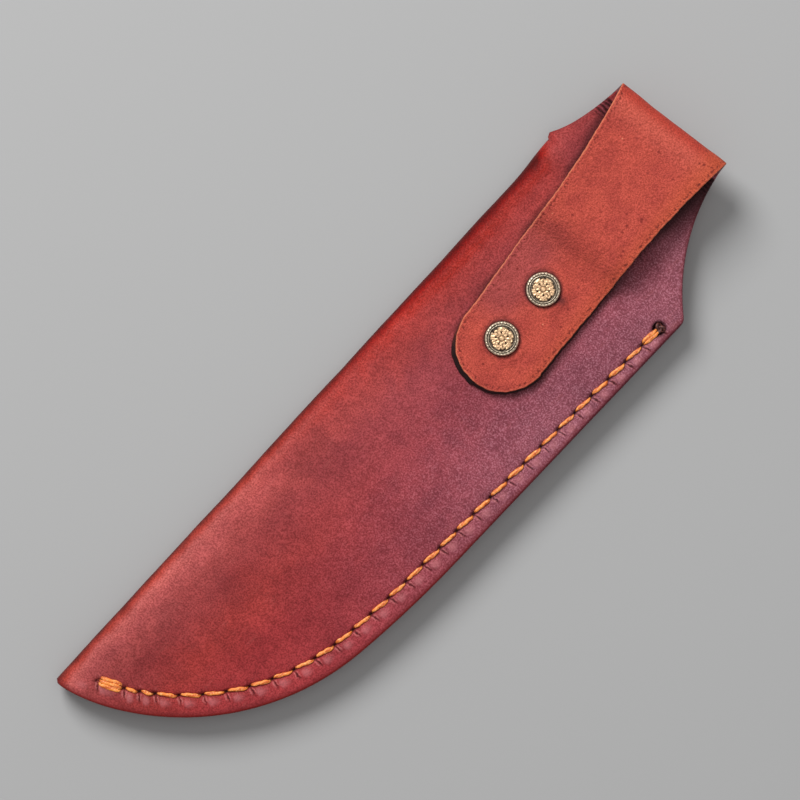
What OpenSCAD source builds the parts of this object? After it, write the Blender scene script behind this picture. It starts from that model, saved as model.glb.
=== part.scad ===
// Riveted leather belt sheath for a digging knife with a 7 inch blade.
// One hide is folded along the spine, saddle-stitched along the seam, and its long tongue
// is turned over and riveted down as a belt loop.
// X runs across from the spine to the seam, Y from the tip to the belt loop, Z up from the
// front face, which lies flat. The back face, with the belt loop, looks up.

/* [Hide] */
// Thickness of the hide
hide_t = 2.4; // [1.6:0.1:3.2]
// Height of the pocket between the two panels, filled at the seam by the welts
pocket_gap = 4.8; // [4.2:0.1:6.4]
// Width from the spine to the seam where the belly curve starts
body_w = 60; // [50:1:74]
// Length of the straight stretch of seam between the belly curve and the throat
straight_len = 91; // [70:1:115]
// How far the straight seam leans away from the spine, in degrees
seam_lean = 0.9; // [0:0.1:2]

/* [Belly] */
// Radius of the slow first stretch of the belly curve, next to the straight seam
belly_r_high = 330; // [200:5:420]
// Turn of that stretch, in degrees
belly_turn_high = 6.3; // [4:0.1:9]
// Radius of the main stretch of the belly curve
belly_r_mid = 76.6; // [65:0.1:85]
// Turn of that stretch, in degrees
belly_turn_mid = 55.6; // [48:0.1:60]
// Radius of the last stretch, down to the tip
belly_r_tip = 53; // [46:1:75]

/* [Throat and neck] */
// Height of the spine's top end above the seam's top corner
throat_rise = 13.5; // [8:0.5:18]
// Radius of the front panel's hollow throat edge
throat_r = 90; // [70:5:150]
// Radius of the seam's top corner
corner_r = 3; // [1:0.5:4]
// How far the spine's top end flares out
spine_flare = 1; // [0.2:0.1:2]
// Radius of the hollow neck edge on the seam side
neck_r_seam = 60; // [50:1:90]
// Radius of the hollow neck edge on the spine side
neck_r_spine = 75; // [50:1:120]

/* [Belt loop] */
// Height of the tongue's fold line above the seam's top corner
fold_rise = 39.9; // [34:0.1:48]
// Distance of the middle of the fold from the spine
fold_x = 22; // [20:0.5:28]
// Tilt of the tongue, in degrees
tongue_tilt = 4.87; // [0:0.1:8]
// Width of the tongue at its fold
fold_w = 36.4; // [30:0.2:40]
// Width of the tongue where it lies on the body
tongue_w = 28.4; // [24:0.2:30]
// Distance from the fold at which the tongue reaches that width
waist_s = 45; // [38:1:50]
// Radius of the tongue's round end
tongue_end_r = 13.3; // [11:0.1:14]
// Distance from the fold to the tongue's far end
tongue_len = 90.7; // [84:0.1:98]
// Clear height of the belt loop just inside its fold
loop_gap = 6.4; // [5.6:0.1:9]
// Slope of the belt loop's straight stretch, in degrees
loop_slope = 2.5; // [0:0.1:3]
// Distance from the fold to the start of the drop onto the body
drop_s = 38; // [34:1:40]
// Radius of the top of that drop, at the middle of the hide
drop_r_top = 10; // [6:0.5:12]
// Radius of the foot of that drop, at the middle of the hide
drop_r_foot = 12; // [6:0.5:12]

/* [Seam] */
// Distance of the stitch line from the belly edge
stitch_inset = 6.2; // [4.5:0.1:7]
// Lean of the stitch line along the straight seam, in degrees
stitch_lean = 2.35; // [1.2:0.05:3]
// Distance from the last stitch hole to the tip, along the stitch line
stitch_start = 10; // [7:0.5:14]
// How far below the seam's top corner the thread is tied off
tie_drop = 4.7; // [4:0.1:12]
// Longest stitch
stitch_max = 6.85; // [5:0.05:9]
// Length of the first, wrapped stitch at the tip
lock_stitch = 7.7; // [5:0.1:9]
// Length of the short closing stitches after it
close_stitch = 4.4; // [3:0.1:5]
// Number of the short closing stitches
close_count = 2; // [1:1:4]
// Diameter of the waxed thread
thread_d = 1; // [0.7:0.05:1.2]
// Width of the two welt strips inside the seam
welt_w = 10; // [9:0.5:14]
// Radius of the punched hole in which the thread is tied off
tie_hole_r = 1.9; // [1.7:0.1:2.4]

/* [Rivets] */
// Distance of the upper rivet from the fold
rivet_upper_s = 58.7; // [56:0.1:64]
// Distance of the lower rivet from the fold
rivet_lower_s = 76.5; // [73:0.1:80]
// Offset of the upper rivet from the tongue's middle line
rivet_upper_a = -0.6; // [-2:0.1:2]
// Offset of the lower rivet from the tongue's middle line
rivet_lower_a = -1.3; // [-2:0.1:2]
// Radius of the decorative cap
cap_r = 5; // [4:0.1:6]
// Height of the decorative cap over the leather
cap_h = 1.75; // [1.6:0.05:2.4]
// Radius of the base cap inside the pocket
base_r = 4.5; // [3.8:0.1:5]
// How far the base cap is pressed into the hide
base_sink = 1.3; // [1.2:0.05:1.6]
// Outer radius of the rivet's post
post_r = 1.5; // [1.2:0.05:1.8]
// Thickness of the rivets' sheet metal
sheet_t = 0.35; // [0.25:0.01:0.38]

/* [Hidden] */

hide_color = "#8c2f2e";
welt_color = "#a2543a";
thread_color = "#e0701f";
brass_color = "#8d7448";
inner_metal_color = "#b8a06a";

reach = 400;             // longer than the whole sheath
arc_step = 3;            // degrees between the points of a curved edge

// ---- Levels, from the front face up ----
fold_r = hide_t + pocket_gap / 2;        // outer radius of the spine fold
back_low = hide_t + pocket_gap;          // flesh side of the back panel
back_top = back_low + hide_t;            // grain side of the back panel
tongue_top = back_top + hide_t;          // upper side of the tongue where it is riveted

// ---- Chains: an outline is walked leg by leg, each leg [length, turn in degrees] ----
function leg_r(leg) = leg[0] / (leg[1] * PI / 180);
function leg_point(p, h, leg, f) =
    leg[1] == 0 ? p + f * leg[0] * [cos(h), sin(h)]
                : p + leg_r(leg) * [sin(h + f * leg[1]) - sin(h), cos(h) - cos(h + f * leg[1])];
function leg_steps(leg) = leg[1] == 0 ? 1 : ceil(abs(leg[1]) / arc_step);
function leg_end(p, h, legs, n) = n == 0 ? p : leg_end(leg_point(p, h, legs[0], 1), h + legs[0][1],
                                                       tail(legs), n - 1);
function tail(list) = [for (i = [1:1:len(list) - 1]) list[i]];
function chain(p, h, legs) =
    len(legs) == 0 ? [p]
    : concat([for (i = [0:leg_steps(legs[0]) - 1]) leg_point(p, h, legs[0], i / leg_steps(legs[0]))],
             chain(leg_point(p, h, legs[0], 1), h + legs[0][1], tail(legs)));
function chain_end(p, h, legs) = leg_end(p, h, legs, len(legs));
function arc_leg(r, turn) = [r * abs(turn) * PI / 180, turn];
// The same walk, moved inwards by d; it turns left round the belly, so its arcs shorten.
function inset_leg(leg, d) = [leg[0] - d * leg[1] * PI / 180, leg[1]];
// The point and heading at distance s along a chain.
function chain_at(p, h, legs, s) =
    s <= legs[0][0] || len(legs) == 1
    ? [leg_point(p, h, legs[0], s / legs[0][0]), h + legs[0][1] * s / legs[0][0]]
    : chain_at(leg_point(p, h, legs[0], 1), h + legs[0][1], tail(legs), s - legs[0][0]);
function left_of(h) = [-sin(h), cos(h)];
function total(legs) = len(legs) == 0 ? 0 : legs[0][0] + total(tail(legs));
// A hollow arc of radius r from p to q, on the right of the way walked.
function hollow(p, q, r) =
    let (half_turn = asin(norm(q - p) / 2 / r), h = atan2(q[1] - p[1], q[0] - p[0]))
    chain(p, h + half_turn, [arc_leg(r, -2 * half_turn)]);
function hollow_start(p, q, r) = atan2(q[1] - p[1], q[0] - p[0]) + asin(norm(q - p) / 2 / r);

// ---- Belly and seam edge, walked from the tip up ----
seam_heading = 90 - seam_lean;
heading_mid = seam_heading - belly_turn_high;
heading_tip = heading_mid - belly_turn_mid;
belly_run = belly_r_high * (sin(seam_heading) - sin(heading_mid))
          + belly_r_mid * (sin(heading_mid) - sin(heading_tip));
tip_heading = asin(sin(heading_tip) - (body_w - belly_run) / belly_r_tip);
belly_legs = [arc_leg(belly_r_tip, heading_tip - tip_heading),
              arc_leg(belly_r_mid, belly_turn_mid),
              arc_leg(belly_r_high, belly_turn_high)];
seam_legs = concat(belly_legs, [[straight_len, 0]]);
tip = [0, 0];
seam_corner = chain_end(tip, tip_heading, seam_legs);
overrun = 3;                             // how far cutting shapes pass what they cut

// The flat panels start where the spine fold ends, part of the way along the tip arc.
panel_heading = asin(sin(tip_heading) + fold_r / belly_r_tip);
panel_start = leg_point(tip, tip_heading, arc_leg(belly_r_tip, panel_heading - tip_heading), 1);
panel_legs = concat([arc_leg(belly_r_tip, heading_tip - panel_heading)], tail(seam_legs));

// ---- Neck and fold line ----
across = [cos(tongue_tilt), sin(tongue_tilt)];
fold_mid = [fold_x, seam_corner[1] + fold_rise];
fold_seam_end = fold_mid + across * fold_w / 2;
fold_spine_end = fold_mid - across * fold_w / 2;
spine_top = seam_corner[1] + throat_rise;
flare_rise = 1.5;                        // height over which the spine flares out
flare_point = [-spine_flare, spine_top + flare_rise];
corner_rise = corner_r * 0.75;           // rough height of the rounded corner, to aim the neck
neck_heading = hollow_start(seam_corner + [-corner_r / 3, corner_rise], fold_seam_end, neck_r_seam);
corner_leg = arc_leg(corner_r, neck_heading - seam_heading);
neck_foot = leg_point(seam_corner, seam_heading, corner_leg, 1);

edge_line = chain(panel_start, panel_heading, concat(panel_legs, [corner_leg]));
back_outline = concat(edge_line, tail(hollow(neck_foot, fold_seam_end, neck_r_seam)),
                      hollow(fold_spine_end, flare_point, neck_r_spine),
                      [[0, spine_top], [fold_r, spine_top]]);
front_outline = concat(edge_line, tail(hollow(neck_foot, [fold_r, spine_top], throat_r)));
fold_outline = concat([tip - overrun * [1, tan(tip_heading)]],
                      chain(tip, tip_heading, [belly_legs[0]]),
                      [[body_w, spine_top + overrun], [-overrun, spine_top + overrun]]);

// ---- Stitch line, walked from the tip end up ----
lean_change = stitch_lean - seam_lean;
stitch_origin = tip + stitch_inset * left_of(tip_heading);
stitch_curve = [inset_leg(belly_legs[0], stitch_inset), inset_leg(belly_legs[1], stitch_inset),
                inset_leg(arc_leg(belly_r_high, belly_turn_high - lean_change), stitch_inset)];
curve_top = chain_end(stitch_origin, tip_heading, stitch_curve);
stitch_straight = (seam_corner[1] - tie_drop - curve_top[1]) / cos(stitch_lean);
stitch_legs_all = concat(stitch_curve, [[stitch_straight, 0]]);
long_start = stitch_start + lock_stitch + close_count * close_stitch;
long_run = total(stitch_legs_all) - long_start;
long_count = ceil(long_run / stitch_max);
short_count = 1 + close_count;
stitch_count = short_count + long_count;
function hole_way(i) = i == 0 ? stitch_start
                     : i < short_count ? long_start - (short_count - i) * close_stitch
                     : long_start + long_run * (i - short_count) / long_count;
stitch_holes = [for (i = [0:stitch_count])
    chain_at(stitch_origin, tip_heading, stitch_legs_all, hole_way(i))[0]];
tie_hole = stitch_holes[stitch_count];

thread_r = thread_d / 2;
thread_play = 0.2;                       // room beside the thread in its groove
post_thread_r = thread_r + 0.15;         // the two crossing threads in one hole
stitch_hole_r = post_thread_r + 0.15;
groove_w = thread_d + 2 * thread_play;
front_thread_z = thread_r + 0.05;        // flush with the front face
back_thread_z = back_top - 0.18;         // stands a little proud of the back face
front_groove = front_thread_z + thread_r + 0.05;
back_groove = back_top - back_thread_z + thread_r + 0.05;
knot_r = tie_hole_r - 0.4;
knot_h = 1.3;
knot_sink = 0.3;

// ---- Tongue profile, walked from the flat neck round the fold and down to its end ----
// It lies in a plane whose first axis is the distance from the fold line, the second is Z.
bend_r = loop_gap / 2 + hide_t / 2;      // middle radius of the fold
bend_out = bend_r + hide_t / 2;
bend_z = back_top + loop_gap / 2;
slope_run = drop_s - bend_out - bend_r * sin(loop_slope);
slope_drop = slope_run * tan(loop_slope);
drop_h = bend_z + bend_r * cos(loop_slope) - slope_drop - (back_top + hide_t / 2);
drop_turn = acos((drop_r_top * cos(loop_slope) + drop_r_foot - drop_h) / (drop_r_top + drop_r_foot));
low_bend = [arc_leg(bend_r, -90)];
high_legs = [arc_leg(bend_r, -90 - loop_slope), [slope_run / cos(loop_slope), 0],
             arc_leg(drop_r_top, loop_slope - drop_turn), arc_leg(drop_r_foot, drop_turn),
             [tongue_len, 0]];
bend_start = [bend_out, bend_z - bend_r];
bend_side = leg_point(bend_start, 180, low_bend[0], 1);
// The two faces of the hide on either side of that middle line.
function face(p, h, legs, d) =
    chain(p + d * left_of(h), h, [for (leg = legs) inset_leg(leg, d)]);
function reverse(list) = [for (i = [len(list) - 1:-1:0]) list[i]];
function strip(p, h, legs) =
    concat(face(p, h, legs, hide_t / 2), reverse(face(p, h, legs, -hide_t / 2)));

// The tongue seen from above: hollow sides down to its waist, then almost straight to a round end.
end_s = tongue_len - tongue_end_r;
side_r = ((fold_w - tongue_w) / 2 + waist_s * waist_s * 2 / (fold_w - tongue_w)) / 2;
side_turn = asin(waist_s / side_r);
function tongue_side(k) = [for (q = chain([tongue_w / 2, -waist_s], 90, [arc_leg(side_r, -side_turn)]))
                           [k * q[0], q[1]]];
tongue_outline = concat([[tongue_end_r, -end_s]], tongue_side(1), reverse(tongue_side(-1)),
                        [[-tongue_end_r, -end_s]]);

// ---- Rivets, measured from the tongue's upper face down ----
grip = 2 * hide_t;
tube_wall = 0.4;
tube_play = 0.05;
socket_r = post_r + tube_play + tube_wall;
rivet_hole_r = socket_r + 2 * tube_play;
lip_z = -grip + base_sink;               // where the base cap's lip bears on the hide
lip_in = base_r - 1.1;
flange_z = lip_z - sheet_t;
socket_len = grip - base_sink + sheet_t - 0.6;
head_r = post_r + 0.6;
head_h = 0.45;
base_skin = 0.3;                         // how far the base cap stands into the pocket

// ---- Where the origin goes: under the middle of the whole sheath ----
right_end = seam_corner[0];
middle = [(right_end - spine_flare) / 2, (fold_seam_end[1] + tip[1]) / 2];

module place() {
    translate([-middle[0], -middle[1], 0]) children();
}

module plate(outline, low, high) {
    translate([0, 0, low]) linear_extrude(height = high - low) polygon(outline);
}

// Puts children drawn on the tongue (X across it, -Y towards its end) in their place.
module on_tongue() {
    translate([fold_mid[0], fold_mid[1], 0]) rotate([0, 0, tongue_tilt]) children();
}

module tongue_strip(p, h, legs) {
    on_tongue() rotate([0, 0, -90]) rotate([90, 0, 0])
        linear_extrude(height = 2 * fold_w, center = true) polygon(strip(p, h, legs));
}

// Half a pipe along the spine, with the flat panels starting at its middle.
module spine_fold() {
    intersection() {
        difference() {
            translate([fold_r, -overrun, fold_r]) rotate([-90, 0, 0])
                cylinder(r = fold_r, h = spine_top + overrun, $fn = 96);
            translate([fold_r, -2 * overrun, fold_r]) rotate([-90, 0, 0])
                cylinder(r = fold_r - hide_t, h = spine_top + 4 * overrun, $fn = 96);
            translate([fold_r, -2 * overrun, -overrun])
                cube([fold_r + overrun, spine_top + 4 * overrun, 2 * fold_r + 2 * overrun]);
        }
        plate(fold_outline, -overrun, 2 * fold_r + overrun);
    }
}

module front_panel() {
    plate(front_outline, 0, hide_t);
}

module back_panel() {
    difference() {
        plate(back_outline, back_low, back_top);
        on_tongue() translate([-reach / 2, -bend_out, back_low - overrun])
            cube([reach, reach, hide_t + 2 * overrun]);
    }
}

module belt_tongue() {
    intersection() {
        tongue_strip(bend_start, 180, low_bend);
        plate(back_outline, back_low - overrun, bend_z + overrun);
    }
    intersection() {
        tongue_strip(bend_side, 90, high_legs);
        on_tongue() union() {
            plate(tongue_outline, back_low, 2 * bend_z);
            translate([0, -end_s, back_low]) cylinder(r = tongue_end_r, h = bend_z, $fn = 96);
        }
    }
}

// The grooves that the stitches lie in, as one band from hole to hole.
function band_normal(i) =
    let (a = stitch_holes[max(i - 1, 0)], b = stitch_holes[min(i + 1, stitch_count)])
    left_of(atan2(b[1] - a[1], b[0] - a[0]));
stitch_band = concat([for (i = [0:stitch_count]) stitch_holes[i] + band_normal(i) * groove_w / 2],
                     [for (i = [stitch_count:-1:0]) stitch_holes[i] - band_normal(i) * groove_w / 2]);

module stitch_drill() {
    for (i = [0:stitch_count - 1])
        translate([stitch_holes[i][0], stitch_holes[i][1], -overrun])
            cylinder(r = stitch_hole_r, h = back_top + 2 * overrun, $fn = 24);
    translate([tie_hole[0], tie_hole[1], -overrun])
        cylinder(r = tie_hole_r, h = back_top + 2 * overrun, $fn = 48);
}

module at_rivet(a, s) {
    on_tongue() translate([a, -s, tongue_top]) children();
}

// The rivet's hole through both layers, with the seat that its base cap presses into the hide.
module rivet_seat() {
    rotate_extrude($fn = 64)
        polygon([[0, overrun], [rivet_hole_r, overrun], [rivet_hole_r, flange_z], [lip_in, flange_z],
                 [lip_in, lip_z], [base_r + tube_play, lip_z], [base_r + tube_play, -grip - overrun],
                 [0, -grip - overrun]]);
}

module sheath_leather() {
    color(hide_color) place() difference() {
        union() {
            spine_fold();
            front_panel();
            back_panel();
            belt_tongue();
        }
        stitch_drill();
        plate(stitch_band, -overrun, front_groove);
        plate(stitch_band, back_top - back_groove, back_top + overrun);
        at_rivet(rivet_upper_a, rivet_upper_s) rivet_seat();
        at_rivet(rivet_lower_a, rivet_lower_s) rivet_seat();
    }
}

// A strip that follows the belly edge inside the seam, from the spine fold to the throat.
welt_play = 0.1;
welt_inner = chain(tip + welt_w * left_of(tip_heading), tip_heading,
                   [for (leg = seam_legs) inset_leg(leg, welt_w)]);

module welt(low) {
    difference() {
        intersection() {
            plate(concat(chain(tip, tip_heading, seam_legs), reverse(welt_inner)), low,
                  low + pocket_gap / 2);
            translate([fold_r + welt_play, -overrun, 0]) cube([reach, reach, reach]);
        }
        stitch_drill();
    }
}

module welt_front() {
    color(welt_color) place() welt(hide_t);
}

module welt_back() {
    color(welt_color) place() welt(hide_t + pocket_gap / 2);
}

module stitch(a, b, z) {
    way = b - a;
    translate([a[0], a[1], z]) rotate([0, 90, atan2(way[1], way[0])])
        translate([0, 0, thread_r / 3])
            cylinder(r = thread_r, h = norm(way) - 2 * thread_r / 3, $fn = 24);
}

module seam_thread() {
    post_low = front_thread_z - thread_r - 0.03;
    post_high = back_thread_z + thread_r + 0.03;
    color(thread_color) place() union() {
        for (i = [0:stitch_count]) {
            translate([stitch_holes[i][0], stitch_holes[i][1], post_low])
                cylinder(r = post_thread_r, h = post_high - post_low, $fn = 24);
        }
        for (i = [0:stitch_count - 1]) {
            stitch(stitch_holes[i], stitch_holes[i + 1], front_thread_z);
            stitch(stitch_holes[i], stitch_holes[i + 1], back_thread_z);
        }
        translate([tie_hole[0], tie_hole[1], back_top - knot_sink - knot_h])
            cylinder(r = knot_r, h = knot_h, $fn = 24);
    }
}

// Thin pressed shell with a raised rim and a low dome, its lip crimped under the socket's flange.
module cap_shell() {
    rim_r = cap_r - 0.8;
    field_r = cap_r - 1.4;
    lip_r = cap_r - 0.9;
    rim_z = cap_h - 0.05;
    field_z = cap_h - 0.35;
    rotate_extrude($fn = 64)
        polygon([[lip_r, 0], [cap_r - 0.2, 0], [cap_r, 0.25], [cap_r, 1.05], [cap_r - 0.3, cap_h - 0.25],
                 [rim_r, rim_z], [field_r, field_z], [0, cap_h],
                 [0, cap_h - sheet_t], [field_r - 0.05, field_z - sheet_t], [rim_r, rim_z - sheet_t],
                 [cap_r - sheet_t, 1], [cap_r - sheet_t, sheet_t], [lip_r, sheet_t]]);
}

// Dished flange on a tube that takes the post.
module socket() {
    bore = post_r + tube_play;
    flange_r = cap_r - sheet_t - tube_play;
    dish_r = cap_r - 0.95;
    rotate_extrude($fn = 64)
        polygon([[bore, -socket_len], [socket_r, -socket_len], [socket_r, 0], [dish_r, 0],
                 [dish_r, sheet_t], [flange_r, sheet_t], [flange_r, sheet_t * 1.5],
                 [dish_r - sheet_t, sheet_t * 1.5], [dish_r - sheet_t, sheet_t], [bore, sheet_t]]);
}

// Hollow post with a flange below and its tip spread over the socket above.
module post() {
    wall = 0.45;
    flange_r = base_r - sheet_t - tube_play;
    rotate_extrude($fn = 64)
        polygon([[post_r - wall, flange_z - sheet_t], [flange_r, flange_z - sheet_t],
                 [flange_r, flange_z], [post_r, flange_z], [post_r, sheet_t], [head_r, sheet_t],
                 [head_r, sheet_t + head_h / 2], [head_r - 0.3, sheet_t + head_h],
                 [0, sheet_t + head_h], [0, sheet_t + head_h - wall / 2],
                 [post_r - wall, sheet_t + head_h - wall / 2]]);
}

// Low domed shell crimped round the post's flange.
module base_shell() {
    floor_z = -grip - base_skin;
    rotate_extrude($fn = 64)
        polygon([[lip_in + tube_play, lip_z], [base_r - 0.2, lip_z], [base_r, lip_z - 0.2],
                 [base_r, -grip + 0.3], [base_r - 0.4, -grip], [0, floor_z],
                 [0, floor_z + sheet_t], [base_r - 0.6, -grip + sheet_t - 0.05],
                 [base_r - sheet_t, -grip + 0.5], [base_r - sheet_t, lip_z - sheet_t],
                 [lip_in + tube_play, lip_z - sheet_t]]);
}

module rivet_upper_cap() {
    color(brass_color) place() at_rivet(rivet_upper_a, rivet_upper_s) cap_shell();
}

module rivet_upper_socket() {
    color(inner_metal_color) place() at_rivet(rivet_upper_a, rivet_upper_s) socket();
}

module rivet_upper_post() {
    color(inner_metal_color) place() at_rivet(rivet_upper_a, rivet_upper_s) post();
}

module rivet_upper_base() {
    color(brass_color) place() at_rivet(rivet_upper_a, rivet_upper_s) base_shell();
}

module rivet_lower_cap() {
    color(brass_color) place() at_rivet(rivet_lower_a, rivet_lower_s) cap_shell();
}

module rivet_lower_socket() {
    color(inner_metal_color) place() at_rivet(rivet_lower_a, rivet_lower_s) socket();
}

module rivet_lower_post() {
    color(inner_metal_color) place() at_rivet(rivet_lower_a, rivet_lower_s) post();
}

module rivet_lower_base() {
    color(brass_color) place() at_rivet(rivet_lower_a, rivet_lower_s) base_shell();
}

sheath_leather();
welt_front();
welt_back();
seam_thread();
rivet_upper_cap();
rivet_upper_socket();
rivet_upper_post();
rivet_upper_base();
rivet_lower_cap();
rivet_lower_socket();
rivet_lower_post();
rivet_lower_base();
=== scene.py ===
import math

import bmesh
import bpy
import numpy as np
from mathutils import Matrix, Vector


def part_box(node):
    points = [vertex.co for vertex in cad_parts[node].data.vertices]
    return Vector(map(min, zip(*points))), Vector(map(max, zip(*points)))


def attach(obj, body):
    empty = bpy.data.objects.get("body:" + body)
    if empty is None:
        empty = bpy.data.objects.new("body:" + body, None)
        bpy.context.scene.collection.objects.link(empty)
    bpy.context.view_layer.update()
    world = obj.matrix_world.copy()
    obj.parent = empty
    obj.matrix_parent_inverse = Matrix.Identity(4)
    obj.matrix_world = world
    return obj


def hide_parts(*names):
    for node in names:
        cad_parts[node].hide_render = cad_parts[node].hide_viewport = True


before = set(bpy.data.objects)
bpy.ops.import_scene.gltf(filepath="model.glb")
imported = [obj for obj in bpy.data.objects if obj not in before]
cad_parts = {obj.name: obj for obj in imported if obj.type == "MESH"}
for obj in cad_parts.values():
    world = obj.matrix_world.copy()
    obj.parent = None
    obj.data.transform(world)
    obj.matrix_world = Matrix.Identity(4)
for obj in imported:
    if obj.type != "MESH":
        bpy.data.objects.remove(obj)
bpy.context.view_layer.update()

# ---- The table, the light and the camera ----
# The sheath lies on its front face on a pale grey table. One soft lamp stands on the spine's
# side, a weaker one fills from the other side, and the camera looks straight down.
scene = bpy.context.scene
scene.view_settings.view_transform = "Standard"
scene.view_settings.look = "None"

CAMERA_TURN = math.radians(42.62)
CAMERA_HEIGHT = 1.2
VIEW_WIDTH = 0.2222
VIEW_LEVEL = 0.01
VIEW_MIDDLE = (-0.0123, 0.0067)
TABLE_GREY = 0.37
TABLE_HALF = 3.0
TABLE_DROP = 0.00005


def srgb(red, green, blue):
    """A colour given in the usual 0 to 255 steps, as linear values with alpha."""
    steps = [v / 255 for v in (red, green, blue)]
    return [v / 12.92 if v <= 0.04045 else ((v + 0.055) / 1.055) ** 2.4 for v in steps] + [1.0]


def add_node(tree, kind, inputs=None, **settings):
    """A shader node with its settings, its inputs given as values or as sockets to link from."""
    node = tree.nodes.new(kind)
    for name, value in settings.items():
        setattr(node, name, value)
    for key, value in (inputs or {}).items():
        if isinstance(value, bpy.types.NodeSocket):
            tree.links.new(value, node.inputs[key])
        else:
            node.inputs[key].default_value = value
    return node


def plain_material(name, colour, roughness):
    material = bpy.data.materials.new(name)
    material.use_nodes = True
    shader = material.node_tree.nodes["Principled BSDF"]
    shader.inputs["Base Color"].default_value = colour
    shader.inputs["Roughness"].default_value = roughness
    return material


def area_lamp(name, place, aim, size, power):
    light = bpy.data.lights.new(name, "AREA")
    light.shape = "DISK"
    light.size = size
    light.energy = power
    lamp = bpy.data.objects.new(name, light)
    scene.collection.objects.link(lamp)
    lamp.location = place
    way = np.array(aim) - np.array(place)
    lamp.rotation_euler = (
        math.acos(-way[2] / np.linalg.norm(way)),
        0,
        math.atan2(way[1], way[0]) - math.pi / 2,
    )
    return lamp


table_mesh = bpy.data.meshes.new("table")
table_mesh.from_pydata(
    [(x * TABLE_HALF, y * TABLE_HALF, -TABLE_DROP) for x, y in ((-1, -1), (1, -1), (1, 1), (-1, 1))],
    [],
    [(0, 1, 2, 3)],
)
table = bpy.data.objects.new("table", table_mesh)
scene.collection.objects.link(table)
table_finish = plain_material("table", (TABLE_GREY,) * 3 + (1.0,), 0.9)
table_shader = table_finish.node_tree.nodes["Principled BSDF"]
table_shader.inputs["Specular IOR Level"].default_value = 0.0
table_mesh.materials.append(table_finish)

world = bpy.data.worlds.new("studio")
scene.world = world
world.use_nodes = True
world.node_tree.nodes["Background"].inputs["Color"].default_value = (1.0, 1.0, 1.0, 1.0)
world.node_tree.nodes["Background"].inputs["Strength"].default_value = 0.38

area_lamp("key_lamp", (-1.03, 0.33, 1.08), (0.0, 0.0, 0.0), 0.8, 24.5)
area_lamp("top_lamp", (0.10, 0.20, 1.60), (0.0, 0.0, 0.0), 1.2, 4.0)

camera_data = bpy.data.cameras.new("camera")
camera_data.sensor_width = 36.0
camera_data.lens = camera_data.sensor_width * (CAMERA_HEIGHT - VIEW_LEVEL) / VIEW_WIDTH
camera_data.clip_start = 0.01
camera_data.clip_end = 20.0
camera = bpy.data.objects.new("camera", camera_data)
scene.collection.objects.link(camera)
camera.location = (*VIEW_MIDDLE, CAMERA_HEIGHT)
camera.rotation_euler = (0.0, 0.0, CAMERA_TURN)
scene.camera = camera

# ---- The hide ----
# One piece of 2.4 mm waxed harness leather: the front panel, the fold along the spine, the back
# panel, the neck and the tongue that is turned over as the belt loop, flesh side out. It is cut
# to one outline, bevelled and burnished at its edges, and dented along its stitches.
MM = 0.001
rng = np.random.default_rng(7)

leather_low = np.array(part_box("sheath_leather")[0])
welt_low = np.array(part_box("welt_front")[0])
welt_high = np.array(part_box("welt_back")[1])
HIDE_T = welt_low[2] / MM
BACK_LOW = welt_high[2] / MM
BACK_TOP = BACK_LOW + HIDE_T
FOLD_R = BACK_TOP / 2
SPINE_FLARE = 1.0
FLARE_RISE = 1.5
TIP = np.array([leather_low[0] + SPINE_FLARE * MM, leather_low[1]])

BODY_W = 60.0
STRAIGHT_LEN = 91.0
SEAM_LEAN = 0.9
# The belly curve's two upper stretches, each (radius, turn in degrees).
BELLY_HIGH = (330.0, 6.3)
BELLY_MID = (76.6, 55.6)
BELLY_TIP_R = 53.0
THROAT_RISE = 13.5
CORNER_R = 3.0
NECK_R_SEAM = 60.0
NECK_R_SPINE = 75.0
FOLD_RISE = 39.9
FOLD_X = 22.0
TILT = 4.87
FOLD_W = 36.4
TONGUE_W = 28.4
WAIST_S = 45.0
TONGUE_END_R = 13.3
TONGUE_LEN = 90.7
LOOP_GAP = 6.4
LOOP_SLOPE = 2.5
DROP_S = 38.0
DROP_R_TOP = 10.0
DROP_R_FOOT = 12.0


def sin_d(angle):
    return math.sin(math.radians(angle))


def cos_d(angle):
    return math.cos(math.radians(angle))


def arc_leg(radius, turn):
    return (radius * abs(math.radians(turn)), turn)


def inset_leg(leg, inset):
    return (leg[0] - inset * math.radians(leg[1]), leg[1])


def walk(start, heading, legs, step=0.25):
    """Points along tangent legs of (length, turn in degrees), and the heading at each."""
    point = np.array(start, float)
    points, headings = [point], [heading]
    for length, turn in legs:
        count = max(1, math.ceil(length / step))
        for k in range(1, count + 1):
            f = k / count
            if turn == 0:
                q = point + f * length * np.array([cos_d(heading), sin_d(heading)])
            else:
                radius = length / math.radians(turn)
                end = heading + f * turn
                q = point + radius * np.array(
                    [sin_d(end) - sin_d(heading), cos_d(heading) - cos_d(end)]
                )
            points.append(q)
            headings.append(heading + f * turn)
        point = points[-1]
        heading += turn
    return np.array(points), np.array(headings)


def hollow(start, end, radius):
    """An arc from start to end that bulges to the left of the way walked."""
    way = np.array(end) - np.array(start)
    half_turn = math.degrees(math.asin(np.linalg.norm(way) / 2 / radius))
    heading = math.degrees(math.atan2(way[1], way[0])) + half_turn
    return walk(start, heading, [arc_leg(radius, -2 * half_turn)])[0]


def lengths(points):
    """Distance walked at each point of a line."""
    return np.concatenate([[0], np.cumsum(np.linalg.norm(np.diff(points, axis=0), axis=1))])


def along(points, ways, way):
    """Points of a line at the given distances."""
    return np.stack([np.interp(way, ways, points[:, k]) for k in range(points.shape[1])], -1)


def smooth(low, high, value):
    t = np.clip((np.asarray(value, float) - low) / (high - low), 0, 1)
    return t * t * (3 - 2 * t)


def bell(value, width):
    return np.exp(-((np.asarray(value) / width) ** 2))


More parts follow.
